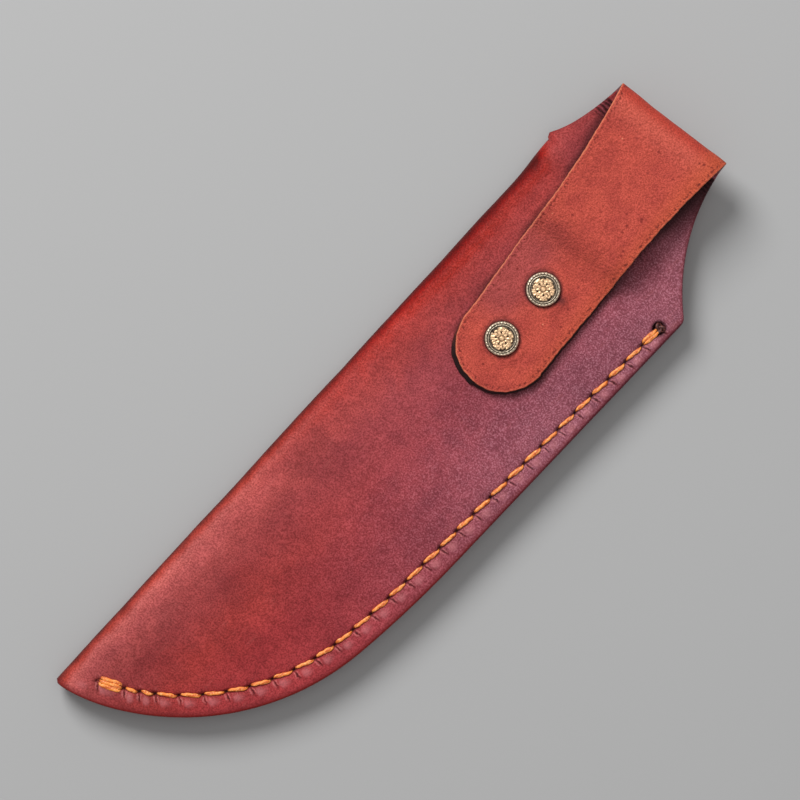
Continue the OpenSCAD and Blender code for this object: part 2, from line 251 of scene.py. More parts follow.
seam_heading = 90 - SEAM_LEAN
heading_mid = seam_heading - BELLY_HIGH[1]
heading_tip = heading_mid - BELLY_MID[1]
belly_run = BELLY_HIGH[0] * (sin_d(seam_heading) - sin_d(heading_mid)) + BELLY_MID[0] * (
    sin_d(heading_mid) - sin_d(heading_tip)
)
tip_heading = math.degrees(math.asin(sin_d(heading_tip) - (BODY_W - belly_run) / BELLY_TIP_R))
belly_legs = [
    arc_leg(BELLY_TIP_R, heading_tip - tip_heading),
    arc_leg(*BELLY_MID),
    arc_leg(*BELLY_HIGH),
]
seam_legs = belly_legs + [(STRAIGHT_LEN, 0)]
edge_line = walk((0, 0), tip_heading, seam_legs)[0]
seam_corner = edge_line[-1]
spine_top = seam_corner[1] + THROAT_RISE

across = np.array([cos_d(TILT), sin_d(TILT)])
down = np.array([sin_d(TILT), -cos_d(TILT)])
fold_mid = np.array([FOLD_X, seam_corner[1] + FOLD_RISE])
fold_seam_end = fold_mid + across * FOLD_W / 2
fold_spine_end = fold_mid - across * FOLD_W / 2
aim_from = seam_corner + np.array([-CORNER_R / 3, CORNER_R * 0.75])
aim = fold_seam_end - aim_from
neck_heading = math.degrees(math.atan2(aim[1], aim[0])) + math.degrees(
    math.asin(np.linalg.norm(aim) / 2 / NECK_R_SEAM)
)
corner_line = walk(seam_corner, seam_heading, [arc_leg(CORNER_R, neck_heading - seam_heading)])[0]
neck_foot = corner_line[-1]
edge_line = np.concatenate([edge_line, corner_line[1:]])
edge_way = lengths(edge_line)
corner_way = edge_way[-1] - lengths(corner_line)[-1]
neck_right = np.concatenate([corner_line[:-1], hollow(neck_foot, fold_seam_end, NECK_R_SEAM)])
flare_point = np.array([-SPINE_FLARE, spine_top + FLARE_RISE])
neck_left = np.concatenate(
    [[[0.0, spine_top]], hollow(fold_spine_end, flare_point, NECK_R_SPINE)[::-1]]
)


def to_tongue(points):
    """Distances across the tongue and from its fold line, for points of the plan."""
    rel = points - fold_mid
    return np.stack([rel @ across, rel @ down], -1)


def from_tongue(a, s):
    return fold_mid + np.multiply.outer(a, across) + np.multiply.outer(s, down)


# The stitch holes, walked from the tip up: the wrapped first stitch, two short ones that close
# it off, then the long ones.
STITCH_INSET = 6.2
STITCH_LEAN = 2.35
STITCH_START = 10.0
STITCH_MAX = 6.85
LOCK_STITCH = 7.7
CLOSE_STITCH = 4.4
CLOSE_COUNT = 2
TIE_DROP = 4.7
stitch_legs = [
    inset_leg(belly_legs[0], STITCH_INSET),
    inset_leg(belly_legs[1], STITCH_INSET),
    inset_leg(arc_leg(BELLY_HIGH[0], BELLY_HIGH[1] - STITCH_LEAN + SEAM_LEAN), STITCH_INSET),
]
stitch_origin = STITCH_INSET * np.array([-sin_d(tip_heading), cos_d(tip_heading)])
curve_top = walk(stitch_origin, tip_heading, stitch_legs)[0][-1]
stitch_legs.append(((seam_corner[1] - TIE_DROP - curve_top[1]) / cos_d(STITCH_LEAN), 0))
stitch_line = walk(stitch_origin, tip_heading, stitch_legs)[0]
stitch_way = lengths(stitch_line)
close_start = STITCH_START + LOCK_STITCH
long_start = close_start + CLOSE_COUNT * CLOSE_STITCH
long_count = math.ceil((stitch_way[-1] - long_start) / STITCH_MAX)
hole_ways = np.concatenate(
    [
        [STITCH_START],
        close_start + CLOSE_STITCH * np.arange(CLOSE_COUNT),
        np.linspace(long_start, stitch_way[-1], long_count + 1),
    ]
)
holes = along(stitch_line, stitch_way, hole_ways)
stitch_count = len(holes) - 1


def stitch_place(points):
    """For points of the plan: the stitch they lie beside, how far along it and past it they are
    in mm, their distance towards the edge, and the length of that stitch."""
    best = np.full(len(points), 1e9)
    number = np.zeros(len(points), int)
    way = np.zeros(len(points))
    off = np.zeros(len(points))
    for i in range(stitch_count):
        step = holes[i + 1] - holes[i]
        size = np.linalg.norm(step)
        step = step / size
        rel = points - holes[i]
        t = rel @ step
        side = rel[:, 0] * step[1] - rel[:, 1] * step[0]
        inside = np.clip(t, 0, size)
        distance = np.hypot(t - inside, side)
        near = distance < best
        best[near] = distance[near]
        number[near] = i
        way[near] = t[near]
        off[near] = side[near]
    size = np.linalg.norm(np.diff(holes, axis=0), axis=1)[number]
    return number, way, off, size


# Rows of the hide run from the seam edge to the spine, and climb from the tip to the tongue's end.
EDGE_STEPS = [0.0, 0.1, 0.25, 0.45, 0.7, 1.0, 1.4]
SEAM_ZONE = 9.4
back_zone = np.array(EDGE_STEPS + list(np.arange(1.8, SEAM_ZONE + 0.01, 0.4)))
front_zone = np.array(EDGE_STEPS + list(np.arange(1.9, SEAM_ZONE + 0.01, 0.5)))
MIDDLE_BACK = 20
MIDDLE_FRONT = 14
NARROW = 24.0
margin_steps = np.array([0.2, 0.4, 0.58, 0.73, 0.85, 0.93, 0.98, 1.0])
MARGIN_TURN = 1.8


def row_steps(width, zone, middle):
    """Distances from the seam edge at which a row of that width has its points."""
    squeeze = min(1.0, width / NARROW)
    near = zone * squeeze
    return np.concatenate([near, np.linspace(near[-1], width, middle + 1)[1:]])


start_way = np.interp(FOLD_R, edge_line[:, 0], edge_way)
hole_edge_ways = np.array(
    [edge_way[np.argmin(np.linalg.norm(edge_line - h, axis=1))] for h in holes]
)
row_ways = list(np.linspace(start_way, hole_edge_ways[0], 12, endpoint=False))
for low, high in zip(hole_edge_ways[:-1], hole_edge_ways[1:]):
    count = 8 if high - low < 6 else 11
    t = np.arange(count) / count
    row_ways += list(low + (high - low) * (t - 0.45 * np.sin(2 * math.pi * t) / (2 * math.pi)))
row_ways += list(np.linspace(hole_edge_ways[-1], corner_way, 9))
row_ways = np.array(row_ways)
body_rows = len(row_ways)

row_edge = along(edge_line, edge_way, row_ways)
row_tilt = (1 - smooth(0, 100, row_ways)) + THROAT_RISE / (seam_corner[0] - FOLD_R) * smooth(
    110, seam_corner[1], row_edge[:, 1]
)
fold_y = row_edge[:, 1] + (row_edge[:, 0] - FOLD_R) * row_tilt
start_y = fold_y[0]

mid_r = FOLD_R - HIDE_T / 2
BACK_MID = BACK_TOP - HIDE_T / 2
FRONT_MID = HIDE_T / 2
PILLOW = 0.9
OPENING = 0.9


def pillow(points):
    """How far the filled middle of the body stands up, 0 to 1."""
    _, _, off, _ = stitch_place(points)
    return (
        smooth(0.5, 15, -off)
        * smooth(FOLD_R, FOLD_R + 13, points[:, 0])
        * smooth(8, 34, points[:, 1])
        * (1 - smooth(112, 138, points[:, 1]))
    )


def fold_place(turns, wide, tall, y):
    """Points and normals round the spine fold, turned from its top, wide and tall as given."""
    places = np.stack(
        [FOLD_R - wide * np.sin(turns), y, BACK_MID - tall * (1 - np.cos(turns))], -1
    )
    normals = np.stack([-np.sin(turns) * tall, np.zeros_like(turns), np.cos(turns) * wide], -1)
    return places, normals / np.linalg.norm(normals, axis=1)[:, None]


def tip_drop(x, y):
    """How far a fold row is pulled down near the tip, so that the fold ends on the outline."""
    belly = np.interp(x, edge_line[:, 0], edge_line[:, 1])
    return (start_y - belly) * np.clip(1 - (y - start_y) / 7, 0, 1)


back_places, back_normals = [], []
front_places, front_normals = [], []
up = np.array([0.0, 0.0, 1.0])

for i in range(body_rows):
    edge, foot = row_edge[i], np.array([FOLD_R, fold_y[i]])
    width = np.linalg.norm(foot - edge)
    steps = row_steps(width, back_zone, MIDDLE_BACK) / max(width, 1e-6)
    plan = edge + np.multiply.outer(steps, foot - edge)
    rise = PILLOW * pillow(plan)
    places = np.column_stack([plan, BACK_MID + rise])
    normals = np.tile(up, (len(plan), 1))
    wide = mid_r + OPENING * smooth(spine_top - 16, spine_top, fold_y[i])
    turns = MARGIN_TURN * margin_steps
    x_now = FOLD_R - wide * np.sin(turns)
    more, more_n = fold_place(turns, wide, mid_r, fold_y[i] - tip_drop(x_now, fold_y[i]))
    back_places.append(np.concatenate([places, more]))
    back_normals.append(np.concatenate([normals, more_n]))

    turns = np.linspace(MARGIN_TURN, math.pi, 8)[1:]
    x_now = FOLD_R - wide * np.sin(turns)
    around, around_n = fold_place(turns, wide, mid_r, fold_y[i] - tip_drop(x_now, fold_y[i]))
    stretch = 2.6 * smooth(corner_way - 30, corner_way, row_ways[i])
    front_edge = along(edge_line, edge_way, row_ways[i] + stretch)
    width = np.linalg.norm(foot - front_edge)
    steps = row_steps(width, front_zone, MIDDLE_FRONT)[::-1][1:] / max(width, 1e-6)
    plan = front_edge + np.multiply.outer(steps, foot - front_edge)
    sag = 4.7 * smooth(spine_top - 45, spine_top, fold_y[i])
    plan[:, 1] -= sag * 4 * steps * (1 - steps)
    places = np.column_stack([plan, np.full(len(plan), FRONT_MID)])
    front_places.append(np.concatenate([around, places]))
    front_normals.append(np.concatenate([around_n, np.tile(-up, (len(plan), 1))]))

# The neck narrows from the throat to the fold line; its spine edge still curls where it leaves
# the fold.
right_local = to_tongue(neck_right)[::-1]
left_local = to_tongue(neck_left)[::-1]
bend_r = LOOP_GAP / 2 + HIDE_T / 2
bend_out = bend_r + HIDE_T / 2
bend_z = BACK_TOP + LOOP_GAP / 2
LEVEL_S = 15.0
END_TURN = 0.15


def neck_steps(side):
    """Distances from the fold line at which the neck's rows meet one of its edges."""
    upper = np.linspace(side[-1, 1], LEVEL_S, 34)[1:]
    return np.concatenate([upper, np.linspace(LEVEL_S, bend_out, 30)[1:]])


def edge_at(side, s):
    """How far across the tongue an edge of the neck lies, at a distance from the fold line."""
    return np.interp(s, side[:, 1], side[:, 0])


right_s = neck_steps(right_local)
left_s = neck_steps(left_local)
for k, (s_right, s_left) in enumerate(zip(right_s, left_s)):
    edge = from_tongue(edge_at(right_local, s_right), s_right)
    left = from_tongue(edge_at(left_local, s_left), s_left)
    foot = left + (edge - left) * (FOLD_R - left[0]) / (edge[0] - left[0])
    foot[1] += THROAT_RISE * FOLD_R / seam_corner[0] * (1 - smooth(0, 30, k))
    width = np.linalg.norm(foot - edge)
    steps = row_steps(width, back_zone, MIDDLE_BACK) / width
    plan = edge + np.multiply.outer(steps, foot - edge)
    places = np.column_stack([plan, np.full(len(plan), BACK_MID)])
    relax = math.exp(-(left[1] - spine_top) / 5.0)
    end_turn = END_TURN + (MARGIN_TURN - END_TURN) * math.exp(-(left[1] - spine_top) / 7.0)
    turns = end_turn * margin_steps
    share = np.sin(turns) / math.sin(end_turn)
    margin = foot + np.multiply.outer(share, left - foot)
    drop = mid_r * relax * (1 - np.cos(turns))
    more = np.column_stack([margin, BACK_MID - drop])
    more_n = np.column_stack([-np.sin(turns) * relax, np.zeros(len(turns)), np.cos(turns)])
    more_n /= np.linalg.norm(more_n, axis=1)[:, None]
    back_places.append(np.concatenate([places, more]))
    back_normals.append(np.concatenate([np.tile(up, (len(plan), 1)), more_n]))
neck_rows = len(right_s)

# The tongue: round the fold, down a slope, over a drop and flat on the body.
slope_run = DROP_S - bend_out - bend_r * sin_d(LOOP_SLOPE)
drop_h = (
    bend_z
    + bend_r * cos_d(LOOP_SLOPE)
    - slope_run * math.tan(math.radians(LOOP_SLOPE))
    - (BACK_TOP + HIDE_T / 2)
)
drop_turn = math.degrees(
    math.acos(
        (DROP_R_TOP * cos_d(LOOP_SLOPE) + DROP_R_FOOT - drop_h) / (DROP_R_TOP + DROP_R_FOOT)
    )
)
profile_legs = [
    arc_leg(bend_r, -180 - LOOP_SLOPE),
    (slope_run / cos_d(LOOP_SLOPE), 0),
    arc_leg(DROP_R_TOP, LOOP_SLOPE - drop_turn),
    arc_leg(DROP_R_FOOT, drop_turn),
    (TONGUE_LEN, 0),
]
profile, profile_heading = walk((bend_out, BACK_MID), 180, profile_legs, 0.1)
profile_way = lengths(profile)
end_s = TONGUE_LEN - TONGUE_END_R
bend_way = profile_legs[0][0]
end_way = np.interp(end_s, profile[profile_way > bend_way, 0], profile_way[profile_way > bend_way])
side_half = (FOLD_W - TONGUE_W) / 2
side_r = (side_half + WAIST_S**2 / side_half) / 2


def tongue_half(s):
    """Half the tongue's width at a distance from its fold line."""
    hollow_side = TONGUE_W / 2 + side_r - np.sqrt(side_r**2 - np.clip(WAIST_S - s, 0, None) ** 2)
    taper = (TONGUE_W / 2 - TONGUE_END_R) * smooth(WAIST_S, end_s, s)
    return hollow_side - taper


def ripple(way, *waves_along):
    """Small waves along an edge, each given as (height, rate, start)."""
    return sum(height * np.sin(rate * way + start) for height, rate, start in waves_along)


tongue_ways = np.concatenate(
    [np.linspace(0, bend_way, 27)[1:], np.linspace(bend_way, end_way, 105)[1:]]
)
END_ROWS = 22
END_LIP = 2.2
for k in range(len(tongue_ways) + END_ROWS):
    if k < len(tongue_ways):
        way = tongue_ways[k]
        s = np.interp(way, profile_way, profile[:, 0])
        outer_s = bend_out * (1 - math.sin(way / bend_r)) if way < bend_way else s
        if way < bend_r * math.pi / 2:
            right = edge_at(right_local, outer_s)
            left = edge_at(left_local, outer_s)
        else:
            right = tongue_half(outer_s)
            left = -right
        width = right - left
        lip = 0.9 + 1.3 * smooth(0, bend_way * 2, way)
        steps = row_steps(width - lip, back_zone, MIDDLE_BACK)
        a = np.concatenate([right - steps, left + lip * (1 - margin_steps)])
        wave = np.where(
            a > 0,
            ripple(way, (0.07, 0.7, 0.0), (0.05, 2.3, 1.0), (0.03, 4.9, 0.0)),
            ripple(way, (0.05, 0.5, 2.0), (0.04, 1.9, 0.0), (0.03, 5.3, 0.0)),
        )
        a = a + wave * smooth(bend_way, bend_way + 10, way) * (a / (width / 2)) ** 5
        ways = np.full(len(a), way)
    else:
        v = smooth(-1, 1, (k - len(tongue_ways) + 1) / END_ROWS) * 2 - 1
        width = 2 * TONGUE_END_R
        steps = row_steps(width - END_LIP, back_zone, MIDDLE_BACK)
        u = 1 - np.concatenate([steps, width - END_LIP * (1 - margin_steps)]) / TONGUE_END_R
        a = TONGUE_END_R * u * np.sqrt(1 - v * v / 2)
        reach = TONGUE_END_R * v * np.sqrt(1 - u * u / 2)
        angle = np.arctan2(reach, a)
        radius = np.hypot(a, reach) / TONGUE_END_R
        wave = ripple(angle, (0.007, 6, 0.6), (0.004, 17, 0.0), (0.003, 31, 0.0))
        ragged = 1 + wave * radius**4
        a = a * ragged
        ways = end_way + reach * ragged
    s = np.interp(ways, profile_way, profile[:, 0])
    z = np.interp(ways, profile_way, profile[:, 1])
    turned = np.radians(np.interp(ways, profile_way, profile_heading))
    back_places.append(np.column_stack([from_tongue(a, s), z]))
    # The grain side is on the left of the walk on the way out, so it ends up underneath.
    flat_n = np.outer(np.sin(turned), down)
    back_normals.append(np.column_stack([flat_n, -np.cos(turned)]))

back_places = np.array(back_places)
back_normals = np.array(back_normals)
front_places = np.array(front_places)
front_normals = np.array(front_normals)
rows_back, cols_back = back_places.shape[:2]
rows_front, cols_front = front_places.shape[:2]
tongue_row = body_rows + neck_rows

# Free edges, for the bevels: the seam, neck and tongue of the back, the seam and throat in front.
back_rim = np.concatenate([back_places[:, 0], back_places[-1], back_places[body_rows - 1 :, -1]])
front_rim = np.concatenate([front_places[:, -1], front_places[-1]])
fold_rim = np.concatenate([back_places[0, -len(margin_steps) :], front_places[0]])


def rim_distance(points, rim):
    """Distance of each point from the nearest of a line's points, both in space."""
    found = np.empty(len(points))
    for k in range(0, len(points), 2000):
        part = points[k : k + 2000]
        gap = ((part[:, None, :] - rim[None, :, :]) ** 2).sum(-1)
        found[k : k + 2000] = np.sqrt(gap.min(1))
    return found


back_flat = back_places.reshape(-1, 3)
front_flat = front_places.reshape(-1, 3)
hide_places = np.concatenate([back_flat, front_flat])
hide_normals = np.concatenate([back_normals.reshape(-1, 3), front_normals.reshape(-1, 3)])
edge_gap = np.minimum(
    rim_distance(hide_places, np.concatenate([back_rim, front_rim])),
    rim_distance(hide_places, fold_rim),
)
row_number = np.concatenate([np.repeat(np.arange(rows_back), cols_back), np.zeros(len(front_flat), int)])
hide_plan = hide_places[:, :2]
is_front = np.arange(len(hide_places)) >= len(back_flat)
seam_side = is_front | (row_number < body_rows)
tongue_part = row_number >= tongue_row
# Distances from the tongue's middle line and from its fold line.
from_middle, from_line = to_tongue(hide_plan).T
loop_way = np.zeros(len(hide_places))
loop_way[tongue_part] = 1.0 + np.abs(from_line[tongue_part])


def roll(gap, radius):
    """How far a rounded edge has fallen away at a distance from the edge."""
    t = np.clip(1 - gap / radius, 0, 1)
    return radius * (1 - np.sqrt(1 - t * t))


# Relief of the grain side, in mm: the stitch bed, and at each hole a slit, a pucker and a crease.
number, way, off, size = stitch_place(hide_plan)
strength = rng.uniform(0.65, 1.25, stitch_count + 2)
shift = rng.uniform(-0.25, 0.25, stitch_count + 2)
nearest = np.where(way > size / 2, number + 1, number)
past_hole = np.where(way > size / 2, way - size, way)
power = strength[nearest]
in_line = smooth(-0.8, 0.2, np.where(number == 0, way, 1.0)) * smooth(
    -0.8, 0.2, np.where(number == stitch_count - 1, size - way, 1.0)
)
bed = -0.30 * bell(off, 0.62) - 0.16 * bell(off, 1.9)
slit_way = past_hole + 0.5 * off
slit = -1.2 * bell(slit_way, 1.0) * bell(off, 0.45)
bump = 0.20 * power * bell(off - 2.2, 1.25) * bell(way - 1.7 - 0.2 * off - shift[number], 0.85)
swell = 0.16 * bell(off - 2.4, 1.3) * (0.5 - 0.5 * np.cos(2 * math.pi * way / size))
crease_window = smooth(0.5, 1.2, off) * (1 - smooth(2.6, 3.9, off))
crease_way = past_hole - 0.22 * off + shift[nearest]
crease = -0.26 * power * bell(crease_way, 0.38) * crease_window
inner_window = smooth(0.5, 1.0, -off) * (1 - smooth(1.3, 3.4, -off))
fan = np.cos(2 * math.pi * past_hole / 1.05 + 4 * shift[nearest]) * bell(past_hole, 1.6)
inner = 0.15 * power * fan * inner_window
relief = (bed + slit + bump + swell + crease + inner) * in_line
grain_up = np.where(seam_side, relief, 0.0)

# The punched hole in which the thread is tied off.
tie = holes[-1]
tie_gap = np.linalg.norm(hide_plan - tie, axis=1)
grain_up -= np.where(seam_side, 1.5 * (1 - smooth(1.2, 2.1, tie_gap)), 0.0)


def waves(points, scale, seed):
    """Smooth random heights about 0, with bumps of roughly the given size."""
    draw = np.random.default_rng(seed)
    total = np.zeros(len(points))
    for _ in range(9):
        angle = draw.uniform(0, 2 * math.pi)
        reach = 2 * math.pi / (scale * draw.uniform(0.7, 1.6))
        total += np.sin(
            reach * (points[:, 0] * math.cos(angle) + points[:, 1] * math.sin(angle))
            + draw.uniform(0, 2 * math.pi)
        )
    return total / 3.0


# Slow unevenness of the whole hide.
uneven = 0.07 * waves(hide_plan, 22.0, 3) + 0.018 * waves(hide_plan, 5.0, 4)
grain_up += np.where(is_front, 0.0, uneven) * (1 - smooth(tongue_row - 4, tongue_row, row_number))

# Relief of the flesh side: it swells round the pressed rivet caps, and its pressed edge is thin.
flesh_up = 0.05 * waves(hide_plan, 7.0, 5) + 0.10 * waves(hide_plan, 18.0, 6)
caps = {}
for name in ("rivet_upper_cap", "rivet_lower_cap"):
    low, high = (np.array(c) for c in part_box(name))
    caps[name] = ((low + high) / 2, low[2], high[2], (high[0] - low[0]) / 2)
    centre = (caps[name][0][:2] - TIP) / MM
    gap = np.linalg.norm(hide_plan - centre, axis=1)
    flesh_up += 0.26 * bell(gap - 6.4, 1.0)
flesh_up = np.where(tongue_part, flesh_up, 0.0)
# The loop's sides stand up a little, as a strap's do over a bend.
cup = smooth(2, 12, loop_way) * (1 - smooth(36, 50, loop_way))
lift = np.where(tongue_part, 0.35 * cup * (np.abs(from_middle) / 16) ** 2, 0.0)

bevel_out = np.where(tongue_part, 0.5, np.where(seam_side, 0.95, 0.7))
bevel_in = np.where(tongue_part, 0.28, np.where(seam_side, 0.12, 0.6))
half = HIDE_T / 2
grain_side = hide_places + hide_normals * (half - roll(edge_gap, bevel_out) + grain_up)[:, None]
flesh_side = hide_places - hide_normals * (half - roll(edge_gap, bevel_in) + flesh_up)[:, None]
# The tongue's edge is skived: its grain side reaches out further than its flesh side.
past_end = np.clip(from_line - end_s, 0, None)
outward = np.stack([from_middle, past_end], -1)
outward /= np.linalg.norm(outward, axis=1)[:, None] + 1e-9
outward = np.outer(outward[:, 0], across) + np.outer(outward[:, 1], down)
end_way = past_end / (np.hypot(from_middle, past_end) + 1e-9)
skive = np.where(
    from_middle < 0,
    0.1 + 0.75 * smooth(79, 88, from_line),
    0.1 + 0.5 * smooth(38, 62, from_line),
)
skive += 0.42 * smooth(0.45, 1.0, end_way - 0.25 * np.sign(from_middle))
skive *= np.where(tongue_part, np.clip(1 - edge_gap / 1.4, 0, 1) * smooth(8, 20, from_line), 0.0)
grain_side[:, :2] += outward * skive[:, None]
flesh_side[:, 2] += lift
grain_side[:, 2] = np.maximum(grain_side[:, 2] + lift, 0.0)


def back_index(row, col):
    return row * cols_back + col


def front_index(row, col):
    """Front columns count on from the back grid's last column, which both share."""
    if col == 0:
        return back_index(row, cols_back - 1)
    return len(back_flat) + row * cols_front + col - 1


def grid_quads(rows, cols, index):
    grid = np.array([[index(r, c) for c in range(cols)] for r in range(rows)])
    return np.stack([grid[:-1, :-1], grid[1:, :-1], grid[1:, 1:], grid[:-1, 1:]], -1).reshape(-1, 4)


back_quads = grid_quads(rows_back, cols_back, back_index)
quads = np.concatenate([back_quads, grid_quads(rows_front, cols_front + 1, front_index)])
# Once round the free edge: up the seam, round the tongue, down the spine side and back in front.
border = np.array(
    [back_index(r, 0) for r in range(rows_back)]
    + [back_index(rows_back - 1, c) for c in range(1, cols_back)]
    + [back_index(r, cols_back - 1) for r in range(rows_back - 2, body_rows - 2, -1)]
    + [front_index(rows_front - 1, c) for c in range(1, cols_front + 1)]
    + [front_index(r, cols_front) for r in range(rows_front - 2, -1, -1)]
    + [front_index(0, c) for c in range(cols_front - 1, -1, -1)]
    + [back_index(0, c) for c in range(cols_back - 2, 0, -1)]
)
layer = len(hide_places)
RIM_STEPS = 3
rim_rings = [
    grain_side[border] * (1 - f) + flesh_side[border] * f
    for f in np.arange(1, RIM_STEPS + 1) / (RIM_STEPS + 1)
]
points = np.concatenate([grain_side, flesh_side] + rim_rings)
rings = [border] + [2 * layer + k * len(border) + np.arange(len(border)) for k in range(RIM_STEPS)]
rings.append(border + layer)
rim_quads = [
    np.stack([upper, lower, np.roll(lower, -1), np.roll(upper, -1)], -1)
    for upper, lower in zip(rings[:-1], rings[1:])
]
faces = np.concatenate([quads, quads[:, ::-1] + layer] + rim_quads)
GRAIN, FLESH, CUT = 0, 1, 2
face_kind = np.repeat(
    [GRAIN, FLESH, CUT], [len(quads), len(quads), len(rim_quads) * len(border)]
)


def on_sheath(points_mm):
    """Millimetres of the plan to metres of the frame."""
    placed = np.array(points_mm, float) * MM
    placed[..., 0] += TIP[0]
    placed[..., 1] += TIP[1]
    return placed


def make_piece(name, points, faces, kinds=None, values=None, weld=0.0):
    """A smooth mesh object from points in metres, with material numbers and point values."""
    mesh = bpy.data.meshes.new(name)
    mesh.from_pydata([tuple(p) for p in points], [], [tuple(int(v) for v in f) for f in faces])
    for key, numbers in (values or {}).items():
        layer_data = mesh.attributes.new(key, "FLOAT", "POINT")
        layer_data.data.foreach_set("value", np.asarray(numbers, np.float32))
    if kinds is not None:
        mesh.polygons.foreach_set("material_index", np.asarray(kinds, np.int32))
    mesh.polygons.foreach_set("use_smooth", np.ones(len(mesh.polygons), bool))
    if weld:
        work = bmesh.new()
        work.from_mesh(mesh)
        bmesh.ops.remove_doubles(work, verts=work.verts, dist=weld)
        work.to_mesh(mesh)
        work.free()
    mesh.update()
    piece = bpy.data.objects.new(name, mesh)
    scene.collection.objects.link(piece)
    return piece


def spread(values):
    """Values of the two faces of the hide, and of its rim."""
    return np.concatenate([values, values] + [values[border]] * RIM_STEPS)


# Near-black painted shade in the stitch slits; in the tie hole it is painted shade and the singed rim.
slit_shade = np.clip(1.25 * bell(slit_way, 0.95) * bell(off, 0.42) * in_line, 0, 1)
slit_shade = np.where(seam_side, np.maximum(slit_shade, 0.95 - 0.95 * smooth(1.7, 2.5, tie_gap)), 0.0)
# Painted shade on the body beside the tongue, darkest where the loop stands clear of it.
beside = np.where(
    from_line < end_s,
    np.abs(from_middle) - tongue_half(np.minimum(from_line, end_s)),
    np.hypot(from_middle, from_line - end_s) - TONGUE_END_R,
)
reach = np.where(
    from_middle > 0,
    1.5 + 9.5 * (1 - smooth(4, 38, from_line)),
    0.9 + 4.0 * (1 - smooth(4, 30, from_line)),
)
under = (1 - smooth(0, 1, beside / reach)) * np.where(from_middle > 0, 0.92, 0.72)
under = np.where(is_front | tongue_part, 0.0, under)

# Painted shade round the caps where they meet the tongue, and a painted shadow beside the upper one.
CAP_SHADOW_SHIFT = (5.9, 1.2)
painted_cap_shade = np.zeros(len(hide_places))
for name, (centre, _, _, radius) in caps.items():
    rel = hide_plan - (centre[:2] - TIP) / MM
    painted_cap_shade += 0.75 * bell(np.linalg.norm(rel, axis=1) - radius / MM, 0.45)
    if name == "rivet_upper_cap":
        painted_cap_shade += 0.7 * bell(np.linalg.norm(rel - CAP_SHADOW_SHIFT, axis=1), 1.3)
painted_cap_shade = np.where(tongue_part, np.clip(painted_cap_shade, 0, 1), 0.0)

# Distance below the bend on the neck; FAR stands for places that a mark doesn't reach.
FAR = 90.0
FAR_FROM_SEAM = 9.0
in_neck = (row_number >= body_rows) & ~is_front
neck_way = np.where(tongue_part, 0.0, from_line)
neck_way = np.where(in_neck, neck_way, FAR)
hide = make_piece(
    "hide",
    on_sheath(points),
    faces,
    face_kind,
    {
        "edge_gap": spread(edge_gap),
        "loop_way": spread(loop_way),
        "slit": spread(slit_shade),
        "pucker": spread(np.where(seam_side, bump + swell + crease + inner, 0.0)),
        "spine": spread(hide_places[:, 0] - np.where(tongue_part, from_line * down[0], 0.0)),
        "across": spread(from_middle),
        "painted_cap_shade": spread(painted_cap_shade),
        "under": spread(under),
        "crease_way": spread(np.where(seam_side, crease_way, FAR_FROM_SEAM)),
        "crease_off": spread(np.where(seam_side, off, FAR_FROM_SEAM)),
        "neck": spread(np.where(in_neck, 1.0, 0.0)),
        "bend_way": spread(neck_way),
    },
    weld=1e-8,
)


def blend(tree, share, under, over, how="MIX"):
    """Two colours mixed by a share from 0 to 1. Each may be a value or a socket."""
    node = add_node(tree, "ShaderNodeMix", data_type="RGBA", blend_type=how)
    for slot, value in ((0, share), (6, under), (7, over)):
        if isinstance(value, bpy.types.NodeSocket):
            tree.links.new(value, node.inputs[slot])
        else:
            node.inputs[slot].default_value = value
    return node.outputs[2]


def reckon(tree, operation, first, second=0.0, clamp=False):
    node = add_node(tree, "ShaderNodeMath", {0: first, 1: second}, operation=operation)
    node.use_clamp = clamp
    return node.outputs[0]


def times(tree, first, second):
    return reckon(tree, "MULTIPLY", first, second)


def tint(tree, colour, mask, share, over):
    """A colour with another laid over it by a share of a mask."""
    return blend(tree, times(tree, mask, share), colour, over)


def between(tree, value, low, high, to_low=0.0, to_high=1.0):
    """A value carried smoothly from one range to another."""
    node = add_node(
        tree,
        "ShaderNodeMapRange",
        {"Value": value, "From Min": low, "From Max": high, "To Min": to_low, "To Max": to_high},
        interpolation_type="SMOOTHSTEP",
    )
    return node.outputs["Result"]


def window(tree, value, rise, fall):
    """A mask that comes up over the first range of a value and goes down over the second."""
    return times(tree, between(tree, value, *rise), between(tree, value, *fall, 1.0, 0.0))


def lumps(tree, place, density, detail=2.0, rough=0.5):
    """Soft noise, 0 to 1, with the given number of lumps to a millimetre."""
    takes = {"Vector": place, "Scale": density, "Detail": detail, "Roughness": rough}
    return add_node(tree, "ShaderNodeTexNoise", takes).outputs["Fac"]


def noise(tree, place, size, detail=2.0, rough=0.5):
    """Soft noise, 0 to 1, with lumps of about the given size."""
    return lumps(tree, place, 1 / size, detail, rough)


def cells(tree, place, density):
    """Distance from the middle of the nearest of many scattered cells."""
    takes = {"Vector": place, "Scale": density}
    return add_node(tree, "ShaderNodeTexVoronoi", takes).outputs["Distance"]


def wander(tree, place, size, reach):
    """A slow wander to either side of 0."""
    return times(tree, reckon(tree, "SUBTRACT", noise(tree, place, size, 3.0), 0.5), reach)


def stretch_place(tree, place, scale):
    node = add_node(tree, "ShaderNodeVectorMath", {0: place, 1: scale}, operation="MULTIPLY")
    return node.outputs[0]


def colour_steps(tree, value, stops):
    """A run of colours over a value, from (position, colour) stops."""
    node = add_node(tree, "ShaderNodeValToRGB", {"Fac": value})
    ramp = node.color_ramp
    for k, (position, colour) in enumerate(stops):
        stop = ramp.elements[k] if k < 2 else ramp.elements.new(position)
        stop.position = position
        stop.color = colour
    return node.outputs["Color"]


def point_value(tree, name):
    return add_node(tree, "ShaderNodeAttribute", attribute_name=name).outputs["Fac"]


